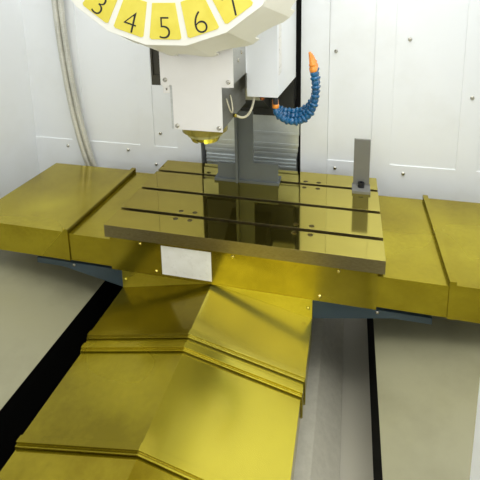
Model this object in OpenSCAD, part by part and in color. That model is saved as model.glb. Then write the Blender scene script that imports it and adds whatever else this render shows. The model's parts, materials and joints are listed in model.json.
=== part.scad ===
// Small vertical drilling and milling machining centre, doors open.
// Z = 0 is the floor. X points to the right, Y to the rear, both from the middle of the outline.
// The working parts are laid out from the spindle axis, which stands at Y = spindle_y.

/* [Machine] */
// where the spindle axis stands behind the middle of the outline
spindle_y = -155; // [-200:1:-100]
// height of the table top above the floor
table_top_z = 860; // [800:5:900]
// height of the spindle nose above the table top
nose_gap = 252; // [252:1:300]
// spindle axis to the front of the column cover
throat = 487; // [470:1:500]
// thickness of thin sheet covers
sheet = 2; // [1.5:0.5:3]

/* [Table] */
// table length along X
table_l = 700; // [600:10:760]
// table width along Y
table_w = 420; // [400:10:440]
// thickness of the table slab
slab_t = 34; // [30:1:40]
// middle of the table to the right of the spindle axis
table_x = 66; // [0:1:100]
// middle of the table behind the spindle axis
table_y = 200; // [150:1:215]
// distance between T-slots
slot_pitch = 125; // [100:5:130]
// width of the T-slot throat
slot_w = 14; // [12:1:18]
// width of the T-slot head
slot_head_w = 24; // [22:1:30]
// height of the T-slot head
slot_head_h = 10; // [8:1:12]
// depth of the T-slot throat
slot_throat_h = 12; // [10:1:16]
// half length of the body under the slab
body_half_l = 255; // [240:1:270]
// half width of the body under the slab
body_half_w = 180; // [150:1:185]
// underside of the body below the table top
body_drop = 108; // [100:1:120]
// radius of the plugged screw holes
plug_r = 7; // [5:0.5:9]
// depth of the plugged screw holes
plug_depth = 8; // [5:1:12]

/* [Table covers] */
// top of the inner cover below the table top
inner_top_drop = 50; // [48:1:60]
// bottom edge of the cover skirts below the table top
skirt_drop = 130; // [120:1:140]
// outer half width of the inner cover
inner_half_w = 196.2; // [190:0.1:196.2]
// outer half width of the outer cover
outer_half_w = 198.5; // [198:0.5:199]
// length of the left inner cover
inner_left_l = 340; // [335:1:345]
// length of the right inner cover
inner_right_l = 355; // [350:1:357]
// length of the left outer cover
outer_left_l = 325; // [320:1:330]
// length of the right outer cover
outer_right_l = 188; // [180:1:188]
// lip of the left outer cover, left of the spindle axis
outer_left_lip = 404; // [396:1:408]
// lip of the right outer cover, right of the spindle axis
outer_right_lip = 552; // [545:1:555]
// top of the cover lip below the table top
lip_drop = 36; // [36:0.5:40]
// width of the raised lip
lip_w = 14; // [10:1:16]
// inner face of the front apron, from the table middle
apron_half_w = 202; // [201:0.5:203]
// length of the front apron
apron_l = 675; // [650:5:690]
// top of the apron below the table top
apron_top_drop = 34.5; // [34.5:0.5:40]
// bottom of the apron below the table top
apron_bottom_drop = 132; // [130:1:134]

/* [Saddle] */
// half length of the saddle along X
saddle_half_l = 525; // [500:5:528]
// half width of the saddle along Y
saddle_half_w = 184; // [170:1:184]
// top of the saddle below the table top
saddle_top_drop = 148; // [140:1:150]
// underside of the saddle wings below the table top
wing_drop = 200; // [190:5:220]
// half width of the saddle middle along X
saddle_mid_half = 250; // [230:5:252]
// underside of the saddle middle below the table top
saddle_mid_drop = 268; // [260:1:270]
// thickness of the saddle front plate
front_plate_t = 6; // [4:1:8]

/* [Front way cover] */
// ridge of the first stage below the table top
ridge_drop = 140; // [138:1:150]
// eaves of the first stage below the table top
eave_drop = 195; // [185:1:205]
// half width of the first stage
stage_half_w = 254; // [245:1:256]
// step between two stages
stage_step = 6; // [5:0.5:7]
// side step between two stages
stage_side_step = 2.5; // [2.5:0.5:4]
// length of the four stages, from the rear
stage_l = [170, 190, 230, 240];
// front edge of each stage in front of the saddle front
stage_lip = [170, 200, 410, 630];
// height of the skirt below the eaves
stage_skirt = 46; // [40:1:60]

/* [Base and column] */
// half width of the base casting
base_half_w = 330; // [300:5:350]
// front end of the base in front of the spindle axis
base_front = 600; // [560:5:640]
// rear end of the base behind the spindle axis
base_rear = 960; // [940:5:980]
// top of the base casting above the floor
base_top = 500; // [480:5:520]
// underside of the base above the floor
base_bottom = 70; // [60:5:80]
// distance of the Y rails from the middle
y_rail_x = 190; // [170:5:200]
// half width of the column
column_half_w = 262; // [250:1:265]
// top of the column above the floor
column_top = 1990; // [1900:10:2050]
// distance of the Z rails from the middle
z_rail_x = 125; // [110:5:130]
// half width of the column cover
z_cover_half_w = 174; // [160:1:176]
// width of the white strips beside the column cover
strip_w = 86; // [80:1:90]

/* [Head] */
// half width of the head casting, upper part
head_half_w = 78; // [72:1:80]
// front face of the head casting, in front of the spindle axis
head_front = 59; // [56:1:64]
// lower edge of the front cover plate above the nose
head_under = 43; // [40:1:50]
// top of the head above the table top
head_top = 780; // [740:5:800]
// radius of the spindle flange
flange_r = 53.5; // [52:0.5:56]
// radius of the spindle nose
nose_r = 40; // [38:0.5:42]
// half width of the front cover plate, upper part
plate_half_w = 83; // [80:1:86]
// half width of the front cover plate, lower part
plate_low_half_w = 56.5; // [54:0.5:60]
// radius of the spindle taper mouth
taper_r = 15.9; // [15:0.1:17]

/* [Tool magazine] */
// number of tool places
places = 20; // [16:1:24]
// corner radius of the front rim
rim_r = 252; // [240:1:264]
// corner radius of the rear skirt
skirt_r = 296; // [290:1:300]
// height of the magazine axis above the table top
mag_z = 756; // [750:1:770]
// front rim in front of the spindle axis
rim_y = 200; // [190:1:210]
// rear edge of the skirt in front of the spindle axis
mag_back_y = 72; // [70:1:80]

/* [Enclosure] */
// half width of the enclosure
wall_half_x = 890; // [880:5:920]
// front wall in front of the spindle axis
front_wall_y = 700; // [680:5:720]
// rear wall of the work space behind the spindle axis
back_wall_y = 497; // [495:1:500]
// top of the enclosure above the floor
wall_top = 2060; // [1900:10:2100]
// half width of the door opening
door_half = 410; // [380:5:430]
// lower edge of the door opening above the floor
sill_z = 790; // [740:10:820]
// upper edge of the door opening above the floor
lintel_z = 1860; // [1800:10:1900]
// front of the machine in front of the spindle axis
front_y = 900; // [860:10:940]
// rear of the machine behind the spindle axis
rear_y = 1210; // [1150:10:1250]

/* [Shown part] */
// which sub-part to draw, or all of them

/* [Hidden] */
tt = table_top_z;
nose_z = tt + nose_gap;
eps = 0.01;

module placed() {
    translate([0, spindle_y, 0]) children();
}

module block(x0, x1, y0, y1, z0, z1) {
    translate([x0, y0, z0]) cube([x1 - x0, y1 - y0, z1 - z0]);
}

// bar with a U section, open below, run along X
module hood_x(x0, x1, half_w, z_top, z_low) {
    translate([x0, table_y, 0]) rotate([90, 0, 90]) linear_extrude(x1 - x0)
        difference() {
            polygon([[-half_w, z_low], [half_w, z_low], [half_w, z_top], [-half_w, z_top]]);
            polygon([[-half_w + sheet, z_low - 1], [half_w - sheet, z_low - 1],
                [half_w - sheet, z_top - sheet], [-half_w + sheet, z_top - sheet]]);
        }
}

// closed section of a roof shape, used for the stages of the front way cover
module roof_2d(half_w, z_ridge, z_eave, z_low) {
    polygon([[-half_w, z_low], [half_w, z_low], [half_w, z_eave], [0, z_ridge], [-half_w, z_eave]]);
}

// roof shaped sheet run along Y from y1 forwards by len
module roof_y(y1, len, half_w, z_ridge, z_eave, z_low, t) {
    translate([0, y1, 0]) rotate([90, 0, 0]) linear_extrude(len)
        difference() {
            roof_2d(half_w, z_ridge, z_eave, z_low);
            translate([0, -t]) roof_2d(half_w - t, z_ridge, z_eave, z_low - t);
        }
}

module rod(p, r, h, along = "z", fn = 32) {
    turn = along == "x" ? [0, 90, 0] : along == "y" ? [-90, 0, 0] : [0, 0, 0];
    translate(p) rotate(turn) cylinder(h = h, r = r, $fn = fn);
}

// pan head screw, its head towards the front
module screw_front(p, r, h) {
    translate(p) rotate([90, 0, 0]) {
        cylinder(h = h * 0.4, r = r, $fn = 24);
        translate([0, 0, h * 0.4 - eps]) cylinder(h = h * 0.6, r1 = r, r2 = r * 0.62, $fn = 24);
    }
}

// ---- base and column

deck_z = base_top - 60;
channel_half = 90;

module base_section() {
    rib = 35;
    deck = deck_z;
    polygon([[-base_half_w, base_bottom], [base_half_w, base_bottom], [base_half_w, deck - 60],
        [base_half_w - 60, deck], [y_rail_x + rib, deck], [y_rail_x + rib, base_top],
        [y_rail_x - rib, base_top], [y_rail_x - rib, deck], [-y_rail_x + rib, deck],
        [-y_rail_x + rib, base_top], [-y_rail_x - rib, base_top], [-y_rail_x - rib, deck],
        [-base_half_w + 60, deck], [-base_half_w, deck - 60]]);
}

feet_x = base_half_w - 45;
feet_y = [-base_front + 60, 180, base_rear - 60];
foot_stud_r = 10;

module base_casting() {
    wall = 30;
    color([0.3, 0.38, 0.45]) placed() difference() {
        union() {
            translate([0, base_rear, 0]) rotate([90, 0, 0]) linear_extrude(base_rear + base_front)
                base_section();
            block(-base_half_w, base_half_w, throat + 18, base_rear, base_bottom + 1, base_top);
        }
        // hollow from below, with a web across under the column
        for (span = [[-base_front + wall, 400], [430, base_rear - wall]])
            block(-base_half_w + 90, base_half_w - 90, span[0], span[1], base_bottom - 1, deck_z - wall);
        // channel in the column seat for the drive of the Y axis
        block(-channel_half, channel_half, throat + 17, base_rear + 1, deck_z, base_top + 1);
        // lifting holes through both sides
        for (y = [-380, 680])
            rod([-base_half_w - 1, y, 190], 32, 2 * base_half_w + 2, "x", 48);
        for (x = [-feet_x, feet_x]) for (y = feet_y)
            rod([x, y, base_bottom - 1], foot_stud_r + 0.02, 71, "z", 48);
    }
}

module levelling_feet() {
    pad_r = 45;
    color([0.25, 0.25, 0.27]) placed() for (x = [-feet_x, feet_x]) for (y = feet_y) {
        rod([x, y, 0], pad_r, 18, "z", 48);
        rod([x, y, 18 - eps], pad_r * 0.55, 14, "z", 48);
        rod([x, y, 30], foot_stud_r, base_bottom + 39, "z", 48);
        rod([x, y, 44], foot_stud_r * 1.8, 16, "z", 6);
    }
}

column_dx = -8;
column_y0 = throat + 58;
column_y1 = 950;
tunnel_half = 240;
tunnel_top = 775;

module column_casting() {
    wall = 28;
    side = 20;
    foot_half = 320;
    foot_top = tunnel_top + 15;
    color([0.88, 0.88, 0.85]) placed() translate([column_dx, 0, 0]) difference() {
        union() {
            block(-foot_half, foot_half, column_y0, column_y1, base_top, foot_top);
            block(-column_half_w, column_half_w, column_y0, column_y1, foot_top - eps, column_top);
            for (s = [-1, 1]) block(s * z_rail_x - 30, s * z_rail_x + 30, column_y0 - 14, column_y0 + 1,
                980, column_top - 20);
        }
        block(-tunnel_half, tunnel_half, column_y0 - 1, column_y1 + 1, base_top - 1, tunnel_top);
        block(-column_half_w + side, column_half_w - side, column_y0 + wall, column_y1 - wall,
            tunnel_top + wall, column_top - wall);
        for (z = [1000, 1300, 1600]) rod([0, column_y1 - wall - 1, z], 60, wall + 2, "y", 48);
    }
}

strip_gap = 8;
z_cover_low = 716;
mag_arm_x = 198;
mag_axis_z = tt + mag_z;

// white sheet strips that stand on both sides of the column cover
module column_strips() {
    color([0.93, 0.93, 0.9]) placed() difference() {
        translate([column_dx, 0, 0]) for (s = [-1, 1]) translate([s * (z_cover_half_w + strip_gap + strip_w / 2), 0, 0]) {
            block(-strip_w / 2, strip_w / 2, throat, throat + sheet, z_cover_low, column_top);
            for (e = [-1, 1]) translate([e * (strip_w - sheet) / 2, 0, 0])
                block(-sheet / 2, sheet / 2, throat + sheet - eps, column_y0 - (e == s ? 50 : 0.2), z_cover_low,
                    column_top);
        }
        // notches for the arms of the tool magazine
        for (s = [-1, 1]) block(s * mag_arm_x - 10, s * mag_arm_x + 10, throat - 1, column_y0 + 1,
            mag_axis_z - 38, mag_axis_z + 46);
    }
}

rail_w = 30;
rail_h = 26;

module guide_rails() {
    color([0.72, 0.73, 0.75]) placed() {
        for (s = [-1, 1]) {
            difference() {
                block(s * y_rail_x - rail_w / 2, s * y_rail_x + rail_w / 2, -base_front + 20, throat - 10,
                    base_top, base_top + rail_h);
                for (y = [-540:90:450]) rod([s * y_rail_x, y, base_top + rail_h - 8], 7, 9, "z", 24);
            }
            difference() {
                block(column_dx + s * z_rail_x - rail_w / 2, column_dx + s * z_rail_x + rail_w / 2,
                    column_y0 - 14 - rail_h, column_y0 - 14, 1000, column_top - 40);
                for (z = [1050:90:1900]) rod([column_dx + s * z_rail_x, column_y0 - 15 - rail_h, z], 7, 9, "y", 24);
            }
        }
    }
}

screw_r = 16;
y_screw_z = base_top + 15;
z_screw_y = column_y0 - 22;

// ball screws of the Y and Z axes with their bearing blocks, couplings and motors
module axis_drives() {
    motor = 130;
    front_bearing_y = -base_front + 20;
    low_bearing_z = 930;
    color([0.2, 0.2, 0.22]) placed() {
        rod([0, front_bearing_y + 40, y_screw_z], screw_r, throat - front_bearing_y - 40, "y", 32);
        block(-55, 55, front_bearing_y, front_bearing_y + 50, deck_z, y_screw_z + 40);
        block(-75, 75, throat - 8, throat + 40, deck_z, y_screw_z + 50);
        rod([0, throat + 39, y_screw_z], 40, 70, "y", 32);
        block(-motor / 2, motor / 2, throat + 108, throat + 290, y_screw_z - motor / 2, y_screw_z + motor / 2);
        translate([column_dx, z_screw_y, 0]) {
            rod([0, 0, low_bearing_z + 30], screw_r, column_top - low_bearing_z - 29, "z", 32);
            block(-50, 50, -17, column_y0 - z_screw_y, low_bearing_z, low_bearing_z + 35);
            block(-70, 70, -23, 142, column_top, column_top + 30);
            rod([0, 0, column_top + 29], 40, 50, "z", 32);
            block(-motor / 2, motor / 2, -motor / 2, motor / 2, column_top + 78, column_top + 230);
        }
    }
}

// ---- front way cover

stage_front = [for (d = stage_lip) table_y - saddle_half_w - front_plate_t - d];

module cover_stage(i) {
    drop = i * stage_step;
    z_ridge = tt - ridge_drop - drop;
    z_eave = tt - eave_drop - drop;
    z_low = tt - eave_drop - 3 * stage_step - stage_skirt;
    half = stage_half_w - i * stage_side_step;
    lip_up = 3.2;
    y1 = stage_front[i] + stage_l[i];
    color([0.62, 0.55, 0.2]) placed() {
        roof_y(y1, stage_l[i], half, z_ridge, z_eave, z_low, sheet);
        if (i < 3) {
            roof_y(stage_front[i] + 13, 13 - eps, half + 1.2, z_ridge + lip_up, z_eave + lip_up, z_low, sheet + 1);
            // wiper carrier, a thin strip that shows in front of the raised lip
            roof_y(stage_front[i], 5, half - 0.2, z_ridge - 1, z_eave - 1, z_low + 4, sheet);
        }
        // the last stage has an end plate that is screwed to the front of the base
        if (i == 3) {
            translate([0, stage_front[3] + 3, 0]) rotate([90, 0, 0]) linear_extrude(3)
                roof_2d(half, z_ridge, z_eave, deck_z);
            for (s = [-1, 1]) block(s * y_rail_x - 30, s * y_rail_x + 30, stage_front[3] + 3 - eps, -base_front,
                deck_z, base_top);
        }
    }
}

module y_cover_stage1() { cover_stage(0); }

module y_cover_stage2() { cover_stage(1); }

module y_cover_stage3() { cover_stage(2); }

module y_cover_stage4() { cover_stage(3); }

// ---- saddle

rail_gap = 0.3;

// guide block with its groove for the rail, standing on the rail foot plane, along Y
module guide_block(w, len, z_top, z_bottom, groove_top) {
    difference() {
        translate([-w / 2, -len / 2, z_bottom]) cube([w, len, z_top - z_bottom]);
        translate([-rail_w / 2 - rail_gap, -len / 2 - 1, z_bottom - 1])
            cube([rail_w + 2 * rail_gap, len + 2, groove_top + rail_gap - z_bottom + 1]);
    }
}

saddle_top = tt - saddle_top_drop;
saddle_low = tt - saddle_mid_drop;
wing_low = tt - wing_drop;

module saddle_casting() {
    block_y = 125;
    nut_half = 45;
    color([0.28, 0.36, 0.44]) placed() translate([0, table_y, 0]) difference() {
        union() {
            translate([0, saddle_half_w, 0]) rotate([90, 0, 0]) linear_extrude(2 * saddle_half_w)
                polygon([[-saddle_mid_half, saddle_low], [saddle_mid_half, saddle_low],
                    [saddle_mid_half, wing_low], [saddle_half_l - 85, wing_low + 36],
                    [saddle_half_l, wing_low + 36], [saddle_half_l, saddle_top], [-saddle_half_l, saddle_top],
                    [-saddle_half_l, wing_low + 36], [-saddle_half_l + 85, wing_low + 36],
                    [-saddle_mid_half, wing_low]]);
            for (sx = [-1, 1]) for (sy = [-1, 1]) translate([sx * y_rail_x, sy * block_y, 0])
                guide_block(72, 90, saddle_low + eps, base_top + 8, base_top + rail_h);
            block(-nut_half, nut_half, -nut_half, nut_half, base_top - 18, saddle_low + eps);
        }
        // the screw nut bore, and pockets from below between the rails
        rod([0, -nut_half - 1, y_screw_z], screw_r + rail_gap, 2 * nut_half + 2, "y", 48);
        for (s = [-1, 1]) {
            block(-130, 130, s * 110 - 45, s * 110 + 45, saddle_low - 1, saddle_top - 30);
            block(s * 370 - 90, s * 370 + 90, -60, 60, wing_low - 1, saddle_top - 14);
        }
    }
}

module saddle_front_plate() {
    y0 = table_y - saddle_half_w - front_plate_t;
    low = tt - eave_drop - 3 * stage_step - stage_skirt;
    color([0.62, 0.55, 0.2]) placed() {
        block(-stage_half_w, stage_half_w, y0, y0 + front_plate_t, low, saddle_top + 10);
        for (s = [-1, 1]) for (z = [saddle_top - 20, tt - eave_drop - 10])
            screw_front([s * (stage_half_w - 10), y0, z], 4.5, 4);
    }
}

module y_rear_cover() {
    half = 228;
    top = 696;
    length = 560;
    color([0.6, 0.62, 0.63]) placed() translate([0, table_y + saddle_half_w + length, 0]) rotate([90, 0, 0])
        linear_extrude(length) difference() {
            translate([-half, top - 70]) square([2 * half, 70]);
            translate([-half + sheet, top - 71]) square([2 * half - 2 * sheet, 71 - sheet]);
        }
}

x_rail_y = 125;
x_screw_z = saddle_top + 19;
x_screw_r = 12;

module x_rails() {
    color([0.72, 0.73, 0.75]) placed() for (s = [-1, 1]) difference() {
        block(-saddle_half_l + 12, saddle_half_l - 12, table_y + s * x_rail_y - rail_w / 2,
            table_y + s * x_rail_y + rail_w / 2, saddle_top, saddle_top + rail_h);
        for (x = [-480:80:480]) rod([x, table_y + s * x_rail_y, saddle_top + rail_h - 8], 7, 9, "z", 24);
    }
}

// ball screw of the X axis with its bearing blocks and motor
module x_drive() {
    motor = 96;
    color([0.2, 0.2, 0.22]) placed() translate([0, table_y, 0]) {
        rod([-saddle_half_l + 20, 0, x_screw_z], x_screw_r, 2 * saddle_half_l - 30, "x", 32);
        for (x = [-saddle_half_l + 10, saddle_half_l - 34]) block(x, x + 24, -38, 38, saddle_top, x_screw_z + 15);
        block(saddle_half_l - 10 - eps, saddle_half_l + 22, -36, 36, saddle_top, x_screw_z + 17);
        block(saddle_half_l + 21.9, saddle_half_l + 160, -motor / 2, motor / 2, x_screw_z - motor / 2,
            x_screw_z + motor / 2);
    }
}

// ---- table

body_low = tt - body_drop;
slab_low = tt - slab_t;
plug_x = 157;
plug_y = slot_pitch - 2;
plug_off = 20;
slots = [-slot_pitch, 0, slot_pitch];

module at_table() {
    placed() translate([table_x, table_y, 0]) children();
}

module table_casting() {
    block_x = 170;
    nut_half = 40;
    color([0.55, 0.5, 0.25]) at_table() difference() {
        union() {
            block(-table_l / 2, table_l / 2, -table_w / 2, table_w / 2, slab_low, tt);
            block(-body_half_l, body_half_l, -body_half_w, body_half_w, body_low, slab_low + eps);
            for (s = [-1, 1]) block(-body_half_l, body_half_l, s * (apron_half_w + body_half_w) / 2
                - (apron_half_w - body_half_w) / 2, s * (apron_half_w + body_half_w) / 2
                + (apron_half_w - body_half_w) / 2, body_low - 16, slab_low + eps);
            for (sx = [-1, 1]) for (sy = [-1, 1]) translate([sx * block_x, sy * x_rail_y, 0]) rotate([0, 0, 90])
                guide_block(70, 90, body_low + 4, saddle_top + 8, saddle_top + rail_h);
            block(-nut_half, nut_half, -36, 36, saddle_top + 2, body_low + 4);
            block(-body_half_l, body_half_l, -38, 38, body_low - 4, body_low + 4);
        }
        rod([-nut_half - 1, 0, x_screw_z], x_screw_r + rail_gap, 2 * nut_half + 2, "x", 48);
        for (y = slots) {
            block(-table_l / 2 - 1, table_l / 2 + 1, y - slot_w / 2, y + slot_w / 2, tt - slot_throat_h - 1, tt + 1);
            block(-table_l / 2 - 1, table_l / 2 + 1, y - slot_head_w / 2, y + slot_head_w / 2,
                tt - slot_throat_h - slot_head_h, tt - slot_throat_h);
        }
        for (sx = [-1, 1]) for (sy = [-1, 1]) for (dx = [-1, 1]) for (dy = [-1, 1])
            rod([sx * plug_x + dx * plug_off, sy * plug_y + dy * plug_off, tt - plug_depth], plug_r,
                plug_depth + 1, "z", 32);
        for (s = [-1, 1]) block(-body_half_l + 20, body_half_l - 20, s * 63 - 22, s * 63 + 22, body_low - 1,
            slab_low - 14);
    }
}

// plugs that close the clamping screw holes; four holes stand open as in the photo
module table_plugs() {
    color([0.5, 0.5, 0.46]) at_table() for (sx = [-1, 1]) for (sy = [-1, 1]) for (dx = [-1, 1]) for (dy = [-1, 1])
        if (!(sx == 1 && sy == -1 && dx == -1) && !(sx == -1 && sy == 1 && dx == -1))
            rod([sx * plug_x + dx * plug_off, sy * plug_y + dy * plug_off, tt - plug_depth], plug_r - 0.05,
                plug_depth - 1.2, "z", 32);
}

module table_aprons() {
    color([0.62, 0.55, 0.2]) at_table() for (s = [-1, 1])
        block(-apron_l / 2 - 3, apron_l / 2 - 3, s * (apron_half_w + sheet / 2) - sheet / 2,
            s * (apron_half_w + sheet / 2) + sheet / 2, tt - apron_bottom_drop, tt - apron_top_drop);
}

screw_row_z = [tt - 45, tt - 118];

module apron_screws() {
    rows = [[-253, -5, 248], [-211, 206]];
    color([0.75, 0.65, 0.3]) at_table() for (s = [0, 180]) rotate([0, 0, s]) for (r = [0, 1]) for (x = rows[r])
        screw_front([x, -apron_half_w - sheet, screw_row_z[r]], 4.6, 4.2);
}

inner_top = tt - inner_top_drop;
skirt_z = tt - skirt_drop;

// inner cover: sheet hood with the end plate that is screwed to the table body
module inner_cover(s, len) {
    x0 = table_x + s * body_half_l;
    x1 = x0 + s * len;
    color([0.64, 0.58, 0.24]) placed() {
        hood_x(min(x0, x1), max(x0, x1), inner_half_w, inner_top, skirt_z);
        block(min(x0, x0 + s * 3), max(x0, x0 + s * 3), table_y - inner_half_w + 1, table_y + inner_half_w - 1,
            body_low, inner_top - 1);
    }
}

module x_cover_inner_left() { inner_cover(-1, inner_left_l); }

module x_cover_inner_right() { inner_cover(1, inner_right_l); }

// outer cover: higher sheet hood with a raised lip at the end next to the table
module outer_cover(s, lip_x, len) {
    x1 = lip_x + s * len;
    rise = 5;
    color([0.64, 0.58, 0.24]) placed() {
        hood_x(min(lip_x, x1), max(lip_x, x1), outer_half_w, inner_top + rise, skirt_z);
        hood_x(min(lip_x, lip_x + s * lip_w), max(lip_x, lip_x + s * lip_w), outer_half_w + 1.5,
            tt - lip_drop, skirt_z);
    }
}

module x_cover_outer_left() { outer_cover(-1, -outer_left_lip, outer_left_l); }

module x_cover_outer_right() { outer_cover(1, outer_right_lip, outer_right_l); }

post_x = -42;
post_y = slot_pitch;
bar_x = 302;

// clamped brackets that stand over the rear T-slot: a ribbed post and an upright flat bar
module table_brackets() {
    post_w = 46;
    flange_t = 8;
    post_h = nose_gap - 24;
    plate_h = 66;
    color([0.27, 0.3, 0.34]) at_table() {
        y0 = post_y - 22;
        difference() {
            union() {
                block(post_x - post_w / 2, post_x + post_w / 2, y0, y0 + flange_t, tt, tt + post_h);
                block(post_x - post_w / 2 - flange_t, post_x - post_w / 2 + eps, y0 - 14, y0 + 30, tt,
                    tt + post_h);
                block(post_x + post_w / 2 - eps, post_x + post_w / 2 + 76, y0, y0 + flange_t, tt, tt + plate_h);
                block(post_x - post_w / 2 - 68, post_x - post_w / 2 - flange_t + eps, y0, y0 + flange_t, tt,
                    tt + plate_h - 8);
                block(post_x - post_w / 2 - 78, post_x + post_w / 2 + 80, y0 - 8, y0 + 46, tt, tt + flange_t);
            }
            for (x = [post_x - 62, post_x + 66]) rod([x, post_y, tt - 1], 6.2, flange_t + 2, "z", 32);
        }
        difference() {
            union() {
                block(bar_x - 26, bar_x + 26, post_y - 30, post_y + 22, tt, tt + flange_t);
                block(bar_x - 23, bar_x + 23, post_y + 14, post_y + 22, tt + flange_t - eps, tt + 150);
            }
            rod([bar_x, post_y, tt - 1], 6.2, flange_t + 2, "z", 32);
        }
    }
}

// socket bolts with their T-nuts in the rear slot
module bracket_bolts() {
    color([0.08, 0.08, 0.09]) at_table() for (p = [[post_x - 62, post_y], [post_x + 66, post_y],
        [bar_x, post_y]]) difference() {
        union() {
            rod([p[0], p[1], tt + 8], 9.5, 14, "z", 32);
            rod([p[0], p[1], tt - slot_throat_h - 4], 6, slot_throat_h + 13, "z", 32);
            block(p[0] - 12, p[0] + 12, p[1] - slot_head_w / 2 + 1, p[1] + slot_head_w / 2 - 1,
                tt - slot_throat_h - slot_head_h, tt - slot_throat_h - 0.5);
        }
        rod([p[0], p[1], tt + 15], 5, 8, "z", 6);
    }
}

// ---- head

cartridge_r = 44.95;
shaft_r = 36;
plate_dx = 5;
plate_t = 3;
plate_low_z = nose_z + head_under;
plate_step_z = nose_z + 144;
box_x0 = 79;
box_x1 = 156;
box_y0 = 100;
box_y1 = 466;
box_front_z = tt + 333;
box_back_z = tt + 303;
box_top = tt + head_top - 60;

module head_casting() {
    low = plate_low_z;
    step_z = plate_step_z - 2;
    top = tt + head_top;
    slide_y = throat - 17;
    rail_front = column_y0 - 14 - rail_h;
    color([0.86, 0.86, 0.83]) placed() difference() {
        union() {
            block(-58, 58, -head_front, 170, low, step_z + 1);
            block(-head_half_w, head_half_w, -head_front, slide_y + 1, step_z, top);
            translate([-70, 0, 0]) rotate([90, 0, 90]) linear_extrude(140)
                polygon([[169, low + 40], [slide_y + 1, tt + 190], [slide_y + 1, step_z + 1], [169, step_z + 1]]);
            block(column_dx - 158, column_dx + 158, slide_y, rail_front - 2, tt + 165, top);
            for (s = [-1, 1]) for (z = [tt + 215, tt + 640]) translate([column_dx + s * z_rail_x, rail_front - 3,
                z]) difference() {
                block(-36, 36, 0, rail_h - 4, 0, 90);
                block(-rail_w / 2 - rail_gap, rail_w / 2 + rail_gap, 3 - rail_gap, rail_h, -1, 91);
            }
            block(column_dx - 32, column_dx + 32, rail_front - 3, rail_front + 36, tt + 400, tt + 470);
        }
        rod([0, 0, low - 1], cartridge_r + 0.05, 330, "z", 64);
        rod([0, 0, low + 328], 30, top - low, "z", 64);
        rod([column_dx, z_screw_y, tt + 399], screw_r + rail_gap, 72, "z", 48);
        // side pockets between the ribs of the arm
        for (s = [-1, 1]) translate([s * 63, 0, 0]) block(-14, 14, 200, 420, step_z + 40, top - 60);
    }
}

// T shaped sheet in front of the head
module head_front_plate() {
    color([0.9, 0.88, 0.82]) placed() translate([plate_dx, 0, 0]) {
        block(-plate_half_w, plate_half_w, -head_front - plate_t, -head_front, plate_step_z, tt + head_top - 4);
        block(-plate_low_half_w, plate_low_half_w, -head_front - plate_t, -head_front, plate_low_z,
            plate_step_z + eps);
        // small stop block under the left wing
        difference() {
            block(-plate_half_w + 4, -plate_low_half_w - 6.5, -head_front, -head_front + 26, plate_step_z - 19,
                plate_step_z - 2);
            rod([-plate_half_w + 12, -head_front - 1, plate_step_z - 10], 2.6, 12, "y", 24);
        }
        block(-plate_half_w + 4, -plate_low_half_w - 6.5, -head_front - plate_t, -head_front + eps, plate_step_z - 4,
            plate_step_z + eps);
    }
}

module head_plate_screws() {
    color([0.8, 0.8, 0.78]) placed() translate([plate_dx, -head_front - plate_t, 0]) {
        for (s = [-1, 1]) {
            screw_front([s * (plate_half_w - 11), 0, plate_step_z + 12], 5, 4);
            screw_front([s * (plate_low_half_w - 8), 0, plate_low_z + 9], 5, 4);
            screw_front([s * (plate_half_w - 11), 0, tt + head_top - 30], 5, 4);
        }
    }
}

module side_box_2d(inset) {
    polygon([[box_y0 + inset, box_front_z - (inset > 0 ? 1 : 0)], [box_y1 - inset, box_back_z - (inset > 0 ? 1 : 0)],
        [box_y1 - inset, box_top - inset], [box_y0 + inset, box_top - inset]]);
}

// white sheet box on the right side of the head, open below
module head_side_box() {
    color([0.95, 0.95, 0.93]) placed() {
        translate([box_x0, 0, 0]) rotate([90, 0, 90]) difference() {
            linear_extrude(box_x1 - box_x0) side_box_2d(0);
            translate([0, 0, sheet]) linear_extrude(box_x1 - box_x0 - 2 * sheet) side_box_2d(sheet);
        }
        // strip that ties the box to the head
        block(head_half_w, box_x0 + eps, box_y0 - 6, box_y0 + 20, box_front_z + 60, box_top);
    }
}

module spindle_cartridge() {
    flange_t = 18;
    top = plate_low_z;
    color([0.7, 0.6, 0.25]) placed() difference() {
        union() {
            rod([0, 0, top - flange_t], flange_r, flange_t, "z", 96);
            rod([0, 0, nose_z + 14], nose_r + 2, top - flange_t - nose_z - 14 + eps, "z", 96);
            rod([0, 0, top - eps], cartridge_r, 320, "z", 96);
        }
        rod([0, 0, nose_z], shaft_r + 0.05, top - nose_z + 321, "z", 96);
        for (a = [30:60:330]) rotate([0, 0, a]) rod([flange_r - 5.5, 0, top - flange_t - 1], 3, 9, "z", 24);
    }
}

// turning spindle with its taper, the two drive keyways and the shaft from the motor
module spindle() {
    key = 16;
    taper_l = 48;
    nose_h = 13.7;
    shaft_top = tt + head_top - 0.3;
    color([0.75, 0.68, 0.4]) placed() difference() {
        union() {
            translate([0, 0, nose_z]) cylinder(h = nose_h, r1 = nose_r - 8, r2 = nose_r - 1, $fn = 96);
            rod([0, 0, nose_z + nose_h - eps], shaft_r, 330, "z", 96);
            // drive shaft up to the motor
            rod([0, 0, nose_z + 340], 18, shaft_top - nose_z - 340, "z", 48);
        }
        translate([0, 0, nose_z - 0.01]) cylinder(h = taper_l, r1 = taper_r, r2 = taper_r * 0.56, $fn = 96);
        rod([0, 0, nose_z + taper_l - 1], taper_r * 0.5, 320, "z", 48);
        for (s = [-1, 1]) block(-key / 2, key / 2, s * (nose_r - 12) - 6, s * (nose_r - 12) + 6, nose_z - 1,
            nose_z + 5);
    }
}

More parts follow.
